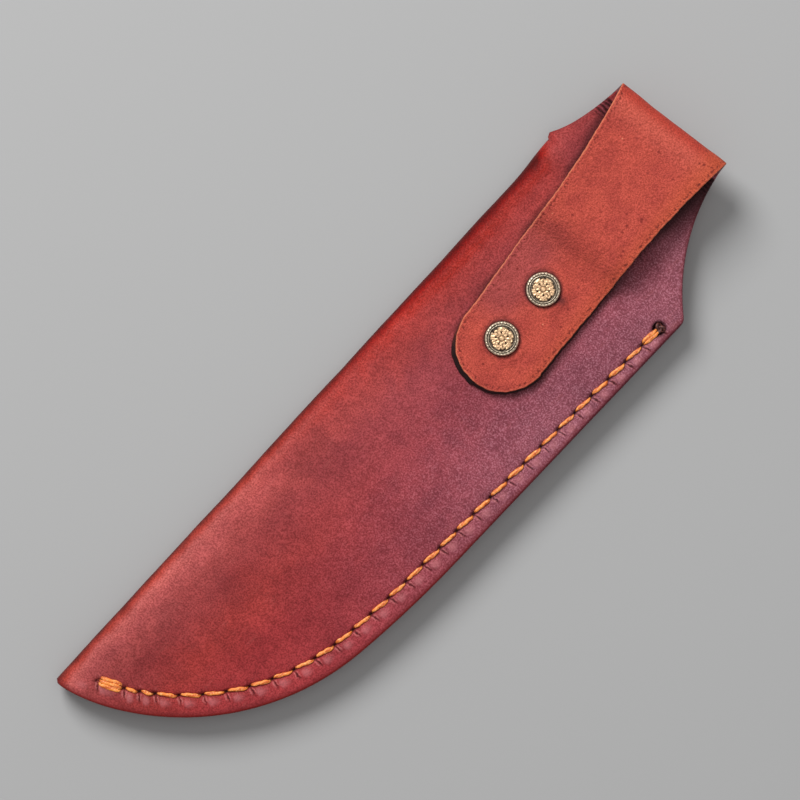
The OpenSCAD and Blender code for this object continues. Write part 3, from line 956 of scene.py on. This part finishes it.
def new_group(name, takes, gives):
    """An empty node group with float inputs (a Vector first) and the named outputs."""
    group = bpy.data.node_groups.new(name, "ShaderNodeTree")
    group.interface.new_socket(name="Place", in_out="INPUT", socket_type="NodeSocketVector")
    for socket, value in takes.items():
        made = group.interface.new_socket(name=socket, in_out="INPUT", socket_type="NodeSocketFloat")
        made.default_value = value
    for socket in gives:
        group.interface.new_socket(name=socket, in_out="OUTPUT", socket_type="NodeSocketFloat")
    return group, group.nodes.new("NodeGroupInput").outputs, group.nodes.new("NodeGroupOutput")


def use_group(tree, group, inputs):
    return add_node(tree, "ShaderNodeGroup", inputs, node_tree=group).outputs


# Grain: fine pebbles with pores between them, and a speckle of darker and lighter dye.
grain_group, takes, gives = new_group("hide_grain", {"Pebble": 1.0}, ["Height", "Speckle"])
density = reckon(grain_group, "DIVIDE", 1.0, takes["Pebble"])
pores = cells(grain_group, takes["Place"], density)
fine = lumps(grain_group, takes["Place"], times(grain_group, density, 2.2), 4.0, 0.6)
height = reckon(grain_group, "SUBTRACT", times(grain_group, fine, 1.2), pores)
grain_group.links.new(height, gives.inputs["Height"])
grain_group.links.new(between(grain_group, fine, 0.36, 0.64), gives.inputs["Speckle"])

# Cloudy dye: big soft clouds, and long thin scuffs that run with the sheath.
cloud_group, takes, gives = new_group("cloudy_dye", {"Size": 12.0}, ["Cloud", "Scuff"])
density = reckon(cloud_group, "DIVIDE", 1.0, takes["Size"])
cloud = lumps(cloud_group, takes["Place"], density, 3.0, 0.55)
cloud_group.links.new(between(cloud_group, cloud, 0.38, 0.66), gives.inputs["Cloud"])
scuff = noise(cloud_group, stretch_place(cloud_group, takes["Place"], (1.0, 0.09, 1.0)), 0.55, 3.0)
scuff_where = noise(cloud_group, takes["Place"], 6.0, 2.0)
scuff_where = between(cloud_group, scuff_where, 0.42, 0.62)
scuff = times(cloud_group, between(cloud_group, scuff, 0.55, 0.72), scuff_where)
cloud_group.links.new(scuff, gives.inputs["Scuff"])

# Edge rub: a mask that fades in from an edge, with an uneven border.
rub_takes = {"Gap": 1.0, "Reach": 1.0, "Wander": 0.5}
rub_group, takes, gives = new_group("edge_rub", rub_takes, ["Mask"])
uneven_gap = wander(rub_group, takes["Place"], 0.8, takes["Wander"])
uneven_gap = reckon(rub_group, "ADD", takes["Gap"], uneven_gap)
rubbed = reckon(rub_group, "DIVIDE", uneven_gap, takes["Reach"])
rub_group.links.new(between(rub_group, rubbed, 0.55, 1.0, 1.0, 0.0), gives.inputs["Mask"])


def new_material(name, roughness, specular=0.5):
    """A material, its tree, its shader and the place of each point in millimetres."""
    material = plain_material(name, (0.5, 0.5, 0.5, 1.0), roughness)
    tree = material.node_tree
    shader = tree.nodes["Principled BSDF"]
    shader.inputs["Specular IOR Level"].default_value = specular
    place = add_node(tree, "ShaderNodeTexCoord").outputs["Object"]
    place = stretch_place(tree, place, (1000.0, 1000.0, 1000.0))
    return material, tree, shader, place


def bump(tree, shader, height, strength, distance):
    node = add_node(
        tree, "ShaderNodeBump", {"Height": height, "Strength": strength, "Distance": distance}
    )
    tree.links.new(node.outputs["Normal"], shader.inputs["Normal"])


RAMP_WIDE = 64.0


def over_width(stops):
    """Colour stops given in mm from the spine, for a ramp as long as the sheath is wide."""
    return [(x / RAMP_WIDE, srgb(*colour)) for x, colour in stops]


WHITE = srgb(255, 255, 255)
grain_leather, tree, shader, place = new_material("waxed_grain_side", 0.5, 0.2)
shader.inputs["Specular Tint"].default_value = (1.0, 0.62, 0.58, 1.0)
height = add_node(tree, "ShaderNodeSeparateXYZ", {0: place}).outputs["Y"]
# The dark band along the spine is narrower in the middle of the sheath.
spine = point_value(tree, "spine")
narrow = window(tree, height, (-20.0, 4.0), (20.0, 46.0))
near_spine = window(tree, spine, (0.6, 3.0), (4.0, 9.0))
spine = reckon(tree, "ADD", spine, times(tree, times(tree, narrow, near_spine), 1.1))
sway = wander(tree, place, 7.0, between(tree, spine, 0.0, 12.0, 1.2, 9.0))
flared = reckon(tree, "ADD", sway, between(tree, height, 80.0, 92.0, 0.0, 8.0))
spine_share = reckon(tree, "DIVIDE", reckon(tree, "ADD", spine, flared), RAMP_WIDE)
# Colours across the sheath, near the tip and near the throat. The lighter shoulder 3 to 10 mm from the
# spine near the tip is a painted highlight, and the mauve towards the seam near the throat is partly dye
# and partly a painted reflection.
lower = over_width(
    [
        (0.0, (70, 12, 9)),
        (1.2, (96, 22, 16)),
        (2.3, (178, 66, 54)),
        (3.6, (196, 98, 92)),
        (6.0, (190, 91, 89)),
        (10.0, (168, 74, 72)),
        (16.0, (159, 63, 63)),
        (26.0, (170, 61, 57)),
        (36.0, (174, 61, 62)),
        (64.0, (166, 60, 66)),
    ]
)
upper = over_width(
    [
        (0.0, (66, 2, 1)),
        (1.8, (98, 2, 1)),
        (2.9, (146, 12, 5)),
        (4.2, (172, 40, 29)),
        (6.5, (180, 66, 61)),
        (10.0, (175, 70, 68)),
        (17.0, (167, 73, 78)),
        (30.0, (164, 75, 85)),
        (46.0, (160, 87, 101)),
        (64.0, (152, 93, 107)),
    ]
)
height_share = between(tree, height, -72.0, 34.0)
at_tip = colour_steps(tree, spine_share, lower)
colour = blend(tree, height_share, at_tip, colour_steps(tree, spine_share, upper))
clouds = use_group(tree, cloud_group, {"Place": place, "Size": 15.0})
small_clouds = use_group(tree, cloud_group, {"Place": place, "Size": 3.4})
grain = use_group(tree, grain_group, {"Place": place, "Pebble": 0.95})
cloudy = times(tree, clouds["Cloud"], 0.55)
colour = blend(tree, cloudy, colour, srgb(205, 196, 206), "MULTIPLY")
mottled = times(tree, small_clouds["Cloud"], 0.4)
colour = blend(tree, mottled, colour, srgb(214, 208, 210), "MULTIPLY")
dots = [(0.0, srgb(196, 182, 182)), (0.7, srgb(242, 237, 239)), (1.0, WHITE)]
colour = blend(tree, 1.0, colour, colour_steps(tree, grain["Speckle"], dots), "MULTIPLY")
lights = between(tree, grain["Speckle"], 0.72, 1.0)
lights = times(tree, lights, between(tree, spine_share, 0.2, 0.75))
lights = times(tree, lights, height_share)
colour = tint(tree, colour, lights, 0.17, srgb(214, 164, 176))
colour = tint(tree, colour, clouds["Scuff"], 0.1, srgb(206, 116, 110))
pucker = point_value(tree, "pucker")
# Painted highlight on the raised puckers, and painted shade in their dents.
colour = blend(tree, between(tree, pucker, 0.03, 0.26, 0.0, 0.26), colour, srgb(214, 136, 140))
colour = blend(tree, between(tree, pucker, -0.03, -0.22, 0.0, 0.6), colour, srgb(84, 16, 20))
# A fine crease runs from each hole towards the edge: a painted shade line in it, and a painted highlight
# line on either side.
crease_off = point_value(tree, "crease_off")
crease_gap = reckon(tree, "ADD", point_value(tree, "crease_way"), wander(tree, place, 0.9, 1.1))
crease_gap = reckon(tree, "ABSOLUTE", crease_gap)
crease_shade_line = between(tree, crease_gap, 0.04, 0.2, 1.0, 0.0)
crease_shade_line = times(tree, crease_shade_line, window(tree, crease_off, (0.3, 0.8), (1.9, 3.4)))
colour = tint(tree, colour, crease_shade_line, 0.85, srgb(46, 10, 14))
crease_highlight_line = window(tree, crease_gap, (0.26, 0.42), (0.5, 0.8))
crease_highlight_line = times(tree, crease_highlight_line, window(tree, crease_off, (0.3, 0.9), (1.6, 3.0)))
colour = tint(tree, colour, crease_highlight_line, 0.3, srgb(220, 140, 138))
# Where the hide turns over into the loop, its grain is squeezed into close ribs, with painted shade in
# their hollows and painted highlight on their crests.
RIB_PITCH = 1.15
from_bend = point_value(tree, "bend_way")
rib_way = reckon(tree, "ADD", from_bend, wander(tree, place, 2.2, 1.4))
rib_wave = reckon(tree, "SINE", times(tree, rib_way, 2 * math.pi / RIB_PITCH))
rib_side = reckon(tree, "ABSOLUTE", point_value(tree, "across"))
rib_zone = window(tree, from_bend, (1.5, 3.5), (8.0, 13.0))
rib_zone = times(tree, rib_zone, between(tree, rib_side, 9.0, 14.0, 0.4, 1.0))
ribs = times(tree, rib_wave, rib_zone)
colour = blend(tree, between(tree, ribs, 0.05, 0.7, 0.0, 0.85), colour, srgb(40, 10, 16))
colour = blend(tree, between(tree, ribs, -0.25, -0.9, 0.0, 0.5), colour, srgb(190, 100, 116))
gap = point_value(tree, "edge_gap")
gap = reckon(tree, "ADD", gap, times(tree, point_value(tree, "neck"), 0.7))
edge_line_mask = use_group(tree, rub_group, {"Place": place, "Gap": gap, "Reach": 2.0, "Wander": 1.0})
colour = tint(tree, colour, edge_line_mask["Mask"], 0.45, srgb(96, 24, 28))
burnish = use_group(tree, rub_group, {"Place": place, "Gap": gap, "Reach": 0.8, "Wander": 0.5})
edge_tone = blend(tree, between(tree, height, -50.0, 50.0), srgb(132, 28, 22), srgb(84, 22, 32))
colour = tint(tree, colour, burnish["Mask"], 0.7, edge_tone)
# Painted shade under and beside the tongue.
colour = blend(tree, point_value(tree, "under"), colour, srgb(26, 8, 12))
# Painted shade in the stitch slits and the tie hole.
colour = blend(tree, point_value(tree, "slit"), colour, srgb(14, 4, 4))
tree.links.new(colour, shader.inputs["Base Color"])
tree.links.new(between(tree, grain["Speckle"], 0.0, 1.0, 0.62, 0.46), shader.inputs["Roughness"])
ribbed = reckon(tree, "SUBTRACT", grain["Height"], times(tree, ribs, 1.6))
bump(tree, shader, ribbed, 0.5, 0.00016)

flesh_leather, tree, shader, place = new_material("napped_flesh_side", 0.88, 0.25)
shader.inputs["Sheen Weight"].default_value = 0.05
shader.inputs["Sheen Tint"].default_value = (1.0, 0.55, 0.45, 1.0)
shader.inputs["Sheen Roughness"].default_value = 0.5
clouds = use_group(tree, cloud_group, {"Place": place, "Size": 6.0})
nap = use_group(tree, grain_group, {"Place": place, "Pebble": 0.85})
from_fold = point_value(tree, "loop_way")
side = point_value(tree, "across")
colour = blend(tree, clouds["Cloud"], srgb(197, 83, 69), srgb(180, 72, 62))
# Painted shading of the loop's fold: a darker red band on its turn, and a painted highlight as a lighter
# band just past it.
fold_shade = window(tree, from_fold, (0.2, 2.2), (3.0, 7.0))
colour = tint(tree, colour, fold_shade, 0.8, srgb(190, 62, 46))
fold_highlight = window(tree, from_fold, (3.0, 6.0), (6.0, 13.0))
colour = tint(tree, colour, fold_highlight, 0.6, srgb(208, 98, 82))
colour = blend(tree, between(tree, side, 8.0, 17.0, 0.0, 0.75), colour, srgb(200, 90, 58))
pink = window(tree, from_fold, (38, 54), (68, 80))
pink = times(tree, pink, between(tree, side, 2.0, -8.0))
colour = tint(tree, colour, pink, 0.7, srgb(160, 72, 74))
dots = [(0.0, srgb(202, 188, 180)), (1.0, WHITE)]
colour = blend(tree, 1.0, colour, colour_steps(tree, nap["Speckle"], dots), "MULTIPLY")
pits = between(tree, cells(tree, place, 0.42), 0.10, 0.24, 1.0, 0.0)
pits = times(tree, pits, between(tree, noise(tree, place, 9.0), 0.45, 0.6))
colour = tint(tree, colour, pits, 0.75, srgb(112, 32, 28))
lint = cells(tree, place, 0.11)
colour = blend(tree, between(tree, lint, 0.015, 0.03, 0.6, 0.0), colour, srgb(232, 150, 116))
gap = point_value(tree, "edge_gap")
on_loop = between(tree, from_fold, 0.9, 1.1)
specks = between(tree, noise(tree, place, 0.75, 3.0), 0.48, 0.62)
specks = times(tree, specks, window(tree, gap, (0.5, 0.9), (1.2, 1.9)))
colour = tint(tree, colour, times(tree, specks, on_loop), 0.8, srgb(98, 30, 24))
# A lighter line along the tongue's cut edge: the raw edge, made stronger on the left side as a painted
# highlight.
cut_line = use_group(tree, rub_group, {"Place": place, "Gap": gap, "Reach": 0.45, "Wander": 1.1})
edge_and_highlight_share = times(tree, on_loop, between(tree, side, 2.0, -4.0, 0.2, 0.5))
colour = tint(tree, colour, cut_line["Mask"], edge_and_highlight_share, srgb(214, 128, 92))
# Painted shade round the caps, and the upper cap's painted shadow.
colour = blend(tree, point_value(tree, "painted_cap_shade"), colour, srgb(52, 26, 30))
tree.links.new(colour, shader.inputs["Base Color"])
bump(tree, shader, nap["Height"], 0.6, 0.00030)

cut_leather, tree, shader, place = new_material("cut_edge", 0.6, 0.4)
layers = noise(tree, stretch_place(tree, place, (0.25, 0.25, 1.0)), 0.35, 3.0)
frayed = noise(tree, place, 0.7, 4.0, 0.6)
raw = blend(tree, between(tree, layers, 0.35, 0.65), srgb(112, 44, 32), srgb(150, 74, 52))
raw = blend(tree, between(tree, frayed, 0.46, 0.6, 0.75, 0.0), raw, srgb(58, 20, 18))
# Near-black on the tongue's rim towards its round end and along its right side: partly the dark-dyed
# edge, partly painted shadow.
dark_rim_and_shadow = blend(tree, between(tree, layers, 0.4, 0.7), srgb(8, 4, 4), srgb(34, 14, 12))
raw = blend(tree, between(tree, point_value(tree, "loop_way"), 80.0, 88.0), raw, dark_rim_and_shadow)
raw = blend(tree, between(tree, point_value(tree, "across"), 0.0, 8.0), raw, dark_rim_and_shadow)
sealed = blend(tree, between(tree, layers, 0.4, 0.7), srgb(92, 18, 15), srgb(146, 42, 28))
maroon = blend(tree, between(tree, layers, 0.4, 0.7), srgb(64, 14, 20), srgb(100, 32, 40))
height = add_node(tree, "ShaderNodeSeparateXYZ", {0: place}).outputs["Y"]
sealed = blend(tree, between(tree, height, -60.0, 50.0), sealed, maroon)
colour = blend(tree, between(tree, point_value(tree, "loop_way"), 4.0, 14.0), sealed, raw)
tree.links.new(colour, shader.inputs["Base Color"])
bump(tree, shader, layers, 0.5, 0.00015)

for material in (grain_leather, flesh_leather, cut_leather):
    hide.data.materials.append(material)
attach(hide, "root")
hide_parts("sheath_leather")

# ---- The saddle-stitched seam ----
# One length of waxed, twisted polyester thread, sewn through every hole from both sides. It is
# wrapped three times at the tip, doubled at the throat, and ends there in a singed knot.
THREAD_WIDE = 0.55
THREAD_TALL = 0.38
TWIST = 5.2
ROUND = 14


def strand(path, ups, wide, tall, twist_from):
    """Points round a flattened, twisted strand, and how far each stands out of its twist."""
    ways = lengths(path)
    ahead = np.gradient(path, axis=0)
    ahead /= np.linalg.norm(ahead, axis=1)[:, None]
    sides = np.cross(ahead, ups)
    sides /= np.linalg.norm(sides, axis=1)[:, None]
    tops = np.cross(sides, ahead)
    turns = np.arange(ROUND) * 2 * math.pi / ROUND
    lay = np.cos(2 * turns[None, :] - 2 * math.pi * (ways[:, None] + twist_from) / TWIST)
    size = 1 + 0.07 * lay
    ring = (
        sides[:, None, :] * (np.cos(turns)[None, :] * size * wide[:, None])[..., None]
        + tops[:, None, :] * (np.sin(turns)[None, :] * size * tall[:, None])[..., None]
    )
    return path[:, None, :] + ring, lay


thread_points, thread_faces, thread_lay, thread_sink_darkening = [], [], [], []


def add_strand(path, ups, wide, tall, sink_darkening, twist_from=0.0):
    rings, lay = strand(path, ups, wide, tall, twist_from)
    start = sum(len(p) for p in thread_points)
    count = len(path)
    index = start + np.arange(count * ROUND).reshape(count, ROUND)
    after = np.roll(index, -1, axis=1)
    sides = np.stack([index[:-1], after[:-1], after[1:], index[1:]], -1).reshape(-1, 4)
    thread_faces.extend([tuple(f) for f in sides])
    thread_faces.append(tuple(index[0, ::-1]))
    thread_faces.append(tuple(index[-1]))
    thread_points.append(rings.reshape(-1, 3))
    thread_lay.append(lay.reshape(-1))
    thread_sink_darkening.append(np.repeat(sink_darkening, ROUND))


def sew(start, end, side, shift=0.0, slant=0.22, lift=0.0):
    """One stitch between two holes on the back (side 1) or the front (side -1)."""
    size = np.linalg.norm(end - start)
    step = (end - start) / size
    to_edge = np.array([step[1], -step[0]])
    t = np.concatenate([[0.16, 0.2], np.linspace(0.25, size - 0.25, 30), [size - 0.2, size - 0.16]])
    bent = np.minimum(t, size - t)
    sink = 1 - smooth(0.2, 1.2, bent)
    off = shift + slant * (2 * t / size - 1) + 0.05 * np.sin(3 * t + start[0])
    # The lying height, and a tail that dives into the hole at both ends.
    lying = BACK_TOP - 0.04 + lift if side > 0 else 0.53
    tail = bent < 0.22
    z = lying - side * (1.5 * sink + np.where(tail, 2.6, 0.0))
    z += side * 0.05 * np.sin(math.pi * t / size)
    path = np.column_stack([start[0] + step[0] * t, start[1] + step[1] * t, z])
    path[:, :2] += off[:, None] * to_edge * (0.2 + 0.8 * (1 - sink))[:, None]
    grow = rng.uniform(0.88, 1.1) * (0.42 + 0.58 * smooth(0.2, 2.1, bent))
    grow *= 1 + 0.05 * np.sin(2.3 * t + start[1])
    # The strand is coloured darker where it sinks into the holes.
    sink_darkening = np.clip(sink * 1.3 - 0.1, 0, 1)
    ups = np.tile([0.0, 0.0, float(side)], (len(t), 1))
    # Where the strand dives, its own flat side turns with it.
    ups[:, :2] += 0.001
    add_strand(path, ups, THREAD_WIDE * grow, THREAD_TALL * grow, sink_darkening, rng.uniform(0, TWIST))


for i in range(stitch_count):
    start, end = holes[i], holes[i + 1]
    if i == 0:
        for shift in (-1.02, 0.0, 1.0):
            sew(start, end, 1, shift, slant=0.1)
            sew(start, end, -1, shift, slant=0.1)
    elif i == stitch_count - 1:
        sew(start, end, 1, -0.42, lift=0.05)
        sew(start, end, 1, 0.45)
        sew(start, end, -1, 0.0)
    else:
        sew(start, end, 1, slant=rng.uniform(0.28, 0.5))
        sew(start, end, -1)

# The knot: an overhand turn pulled tight in the tie hole and melted over.
around = np.linspace(0, 2 * math.pi, 90, endpoint=False)
knot = np.column_stack(
    [
        0.42 * (np.sin(around) + 2 * np.sin(2 * around)),
        0.42 * (np.cos(around) - 2 * np.cos(2 * around)),
        -0.36 * np.sin(3 * around),
    ]
)
knot[:, :2] += tie + 0.15
knot[:, 2] += BACK_TOP - 0.75
knot = np.concatenate([knot, knot[:1]])
add_strand(
    knot,
    np.tile([0.05, 0.03, 1.0], (len(knot), 1)),
    np.full(len(knot), 0.5),
    np.full(len(knot), 0.42),
    np.full(len(knot), 2.0),
)

thread = make_piece(
    "seam_stitches",
    on_sheath(np.concatenate(thread_points)),
    thread_faces,
    values={"lay": np.concatenate(thread_lay), "sink_darkening": np.concatenate(thread_sink_darkening)},
)
thread_finish, tree, shader, place = new_material("waxed_thread", 0.55, 0.5)
lay = point_value(tree, "lay")
fibres = noise(tree, stretch_place(tree, place, (1.0, 0.6, 1.0)), 0.4, 3.0)
# The plies' crests get a lighter tone and the grooves between them a darker one: painted highlight and
# painted shade of the twist.
colour = blend(tree, between(tree, lay, -0.9, 0.4), srgb(196, 88, 26), srgb(232, 132, 50))
colour = blend(tree, between(tree, fibres, 0.48, 0.66, 0.0, 0.7), colour, srgb(250, 184, 112))
# Darker where the strand sinks into the holes, and singed at the knot.
sink_darkening = point_value(tree, "sink_darkening")
colour = blend(tree, between(tree, sink_darkening, 0.1, 0.9, 0.0, 0.9), colour, srgb(92, 34, 14))
singed = blend(tree, between(tree, fibres, 0.45, 0.7), srgb(54, 16, 12), srgb(116, 56, 46))
colour = blend(tree, between(tree, sink_darkening, 1.2, 1.8), colour, singed)
tree.links.new(colour, shader.inputs["Base Color"])
bump(tree, shader, fibres, 0.4, 0.00012)
thread.data.materials.append(thread_finish)
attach(thread, "root")
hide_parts("seam_thread")

# ---- The welts ----
# Two strips of the same leather, glued between the panels along the seam. Only their sanded
# edges show, between the two cut edges of the hide.


def dress(node_name, material):
    """Gives a node of the frame its finish."""
    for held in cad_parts[node_name].material_slots:
        held.link = "OBJECT"
        held.material = material


welt_leather, tree, shader, place = new_material("welt_edge", 0.55, 0.4)
layers = noise(tree, stretch_place(tree, place, (0.22, 0.22, 1.0)), 0.3, 3.0)
clouds = use_group(tree, cloud_group, {"Place": place, "Size": 5.0})
colour = blend(tree, between(tree, layers, 0.38, 0.66), srgb(84, 18, 16), srgb(140, 44, 30))
colour = tint(tree, colour, clouds["Cloud"], 0.4, srgb(72, 18, 20))
tree.links.new(colour, shader.inputs["Base Color"])
bump(tree, shader, layers, 0.5, 0.00015)
for name in ("welt_front", "welt_back"):
    dress(name, welt_leather)

# ---- The rivets ----
# Two hollow rivets hold the tongue down. Each has a pressed brass cap with a milled rim and a
# flower, aged dark in its hollows, crimped over a socket; a plain post and base hold it inside.
CAP_RINGS = 74
CAP_SPOKES = 180
PETALS = 5
NOTCHES = 30
SHEET_T = 0.42

# The cap's section, from the middle out: (share of the radius, height in mm).
cap_section = np.array(
    [
        (0.00, 1.36), (0.60, 1.30), (0.66, 1.24), (0.69, 1.06), (0.715, 1.06), (0.745, 1.32),
        (0.775, 1.32), (0.80, 1.10), (0.825, 1.10), (0.86, 1.26), (0.905, 1.22), (0.945, 0.98),
        (0.975, 0.62), (1.00, 0.20), (0.99, 0.0),
    ]
)


def cap_mesh(name, turn):
    centre, low, high, radius = caps[name]
    radius = radius / MM
    rise = (high - low) / MM
    share = np.linspace(0.0, 1.0, CAP_RINGS)[1:] ** 0.8
    section_way = lengths(cap_section * [5.0, 1.0])
    ways = share * section_way[-1]
    r = np.interp(ways, section_way, cap_section[:, 0])
    h = np.interp(ways, section_way, cap_section[:, 1])
    theta = np.arange(CAP_SPOKES) * 2 * math.pi / CAP_SPOKES
    r_grid, theta_grid = np.meshgrid(r, theta, indexing="ij")
    h_grid = np.repeat(h[:, None], CAP_SPOKES, axis=1)
    flower = theta_grid + turn
    # Five pointed petals round a centre boss, veins along them, and leaves between them.
    lobe = np.cos(flower * PETALS / 2)
    between_petals = np.abs(np.sin(flower * PETALS / 2))
    petal = smooth(0.0, 0.06, 0.22 + 0.42 * np.abs(lobe) ** 0.9 - r_grid)
    leaf = smooth(0.0, 0.05, r_grid - 0.36) * smooth(0.55, 0.7, between_petals)
    vein = bell(between_petals, 0.12) * smooth(0.22, 0.3, r_grid) * (1 - smooth(0.46, 0.56, r_grid))
    boss = 1 - smooth(0.09, 0.13, r_grid)
    ring = bell(r_grid - 0.165, 0.028) + 0.8 * bell(r_grid - 0.67, 0.02)
    field = 1 - smooth(0.64, 0.68, r_grid)
    relief = field * (0.24 * np.maximum(petal, leaf) - 0.15 * vein - 0.2)
    relief += 0.2 * boss - 0.18 * ring
    notch = bell((theta_grid / (2 * math.pi) * NOTCHES) % 1 - 0.5, 0.18) * bell(r_grid - 0.875, 0.05)
    flat_places = np.stack([r_grid * np.cos(theta_grid), r_grid * np.sin(theta_grid)], -1)
    worn = waves(flat_places.reshape(-1, 2), 0.16, len(name) + 2).reshape(r_grid.shape)
    h_grid = h_grid + relief - 0.12 * notch + 0.035 * worn * (r_grid < 0.93)
    scratches = 0.8 * bell(worn - 0.15, 0.13) * smooth(0.12, 0.2, r_grid) * field
    crevice = np.clip(-(relief + 0.01 + 0.06 * worn) * 6.0, 0, 1) * field + 0.55 * notch + scratches
    crevice = np.clip(crevice + bell(r_grid - 0.70, 0.035) + bell(r_grid - 0.812, 0.025), 0, 1)
    rim = smooth(0.62, 0.66, r_grid)
    places = np.concatenate([flat_places * radius, h_grid[..., None]], -1).reshape(-1, 3)
    places[:, 2] *= rise / h_grid.max()
    under = places.copy()
    under[:, :2] *= 0.93
    under[:, 2] = np.maximum(under[:, 2] - SHEET_T, 0.02)
    top = np.array([[0, 0, places[:CAP_SPOKES, 2].mean()]])
    bottom = top - [0, 0, SHEET_T]
    count = len(places)
    index = np.arange(count).reshape(CAP_RINGS - 1, CAP_SPOKES)
    after = np.roll(index, -1, axis=1)
    skin = np.stack([index[:-1], index[1:], after[1:], after[:-1]], -1).reshape(-1, 4)
    faces = [tuple(f) for f in skin]
    faces += [tuple(f[::-1] + count) for f in skin]
    for k in range(CAP_SPOKES):
        a, b = index[0, k], after[0, k]
        faces.append((a, b, 2 * count))
        faces.append((b + count, a + count, 2 * count + 1))
        a, b = index[-1, k], after[-1, k]
        faces.append((b, a, a + count, b + count))
    points = np.concatenate([places, under, top, bottom]) * MM
    points[:, :2] += centre[:2]
    points[:, 2] += low
    skirt = np.clip((1.12 - places[:, 2]) / 0.3, 0, 1) * (r_grid.reshape(-1) > 0.9)
    marks = {"crevice": crevice, "rim": rim, "skirt": skirt}
    for key, mark in marks.items():
        marks[key] = np.concatenate([mark.reshape(-1), np.ones(count), [0.0, 1.0]])
    return make_piece(name + "_pressed", points, faces, values=marks)


# Tarnish: dark in the hollows and in cloudy patches.
tarnish_takes = {"Hollow": 0.0, "Size": 0.7}
tarnish_group, takes, gives = new_group("tarnish", tarnish_takes, ["Mask", "Roughness"])
density = reckon(tarnish_group, "DIVIDE", 1.0, takes["Size"])
patches = lumps(tarnish_group, takes["Place"], density, 4.0, 0.6)
patches = between(tarnish_group, patches, 0.5, 0.72, 0.0, 0.6)
dark = reckon(tarnish_group, "ADD", takes["Hollow"], patches, True)
tarnish_group.links.new(dark, gives.inputs["Mask"])
tarnish_group.links.new(between(tarnish_group, dark, 0.0, 1.0, 0.34, 0.7), gives.inputs["Roughness"])


def brass(name, bright, rim_tone, tarnished, metallic):
    material, tree, shader, place = new_material(name, 0.4)
    aged = use_group(
        tree, tarnish_group, {"Place": place, "Hollow": point_value(tree, "crevice"), "Size": 0.8}
    )
    tone = blend(tree, point_value(tree, "rim"), bright, rim_tone)
    tone = blend(tree, aged["Mask"], tone, tarnished)
    tone = blend(tree, point_value(tree, "skirt"), tone, srgb(26, 18, 14))
    tree.links.new(tone, shader.inputs["Base Color"])
    tree.links.new(aged["Roughness"], shader.inputs["Roughness"])
    shader.inputs["Metallic"].default_value = metallic
    bump(tree, shader, noise(tree, place, 0.3, 3.0), 0.15, 0.0001)
    return material


antique = brass("antique_brass", srgb(222, 182, 140), srgb(200, 184, 160), srgb(46, 30, 22), 0.6)
plain = brass("plain_brass", srgb(214, 178, 112), srgb(200, 164, 98), srgb(120, 88, 46), 1.0)
for name, turn in (("rivet_upper_cap", 0.2), ("rivet_lower_cap", 0.75)):
    cap = cap_mesh(name, turn)
    cap.data.materials.append(antique)
    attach(cap, "root")
    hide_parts(name)
for end in ("upper", "lower"):
    for part in ("socket", "post", "base"):
        dress(f"rivet_{end}_{part}", plain)
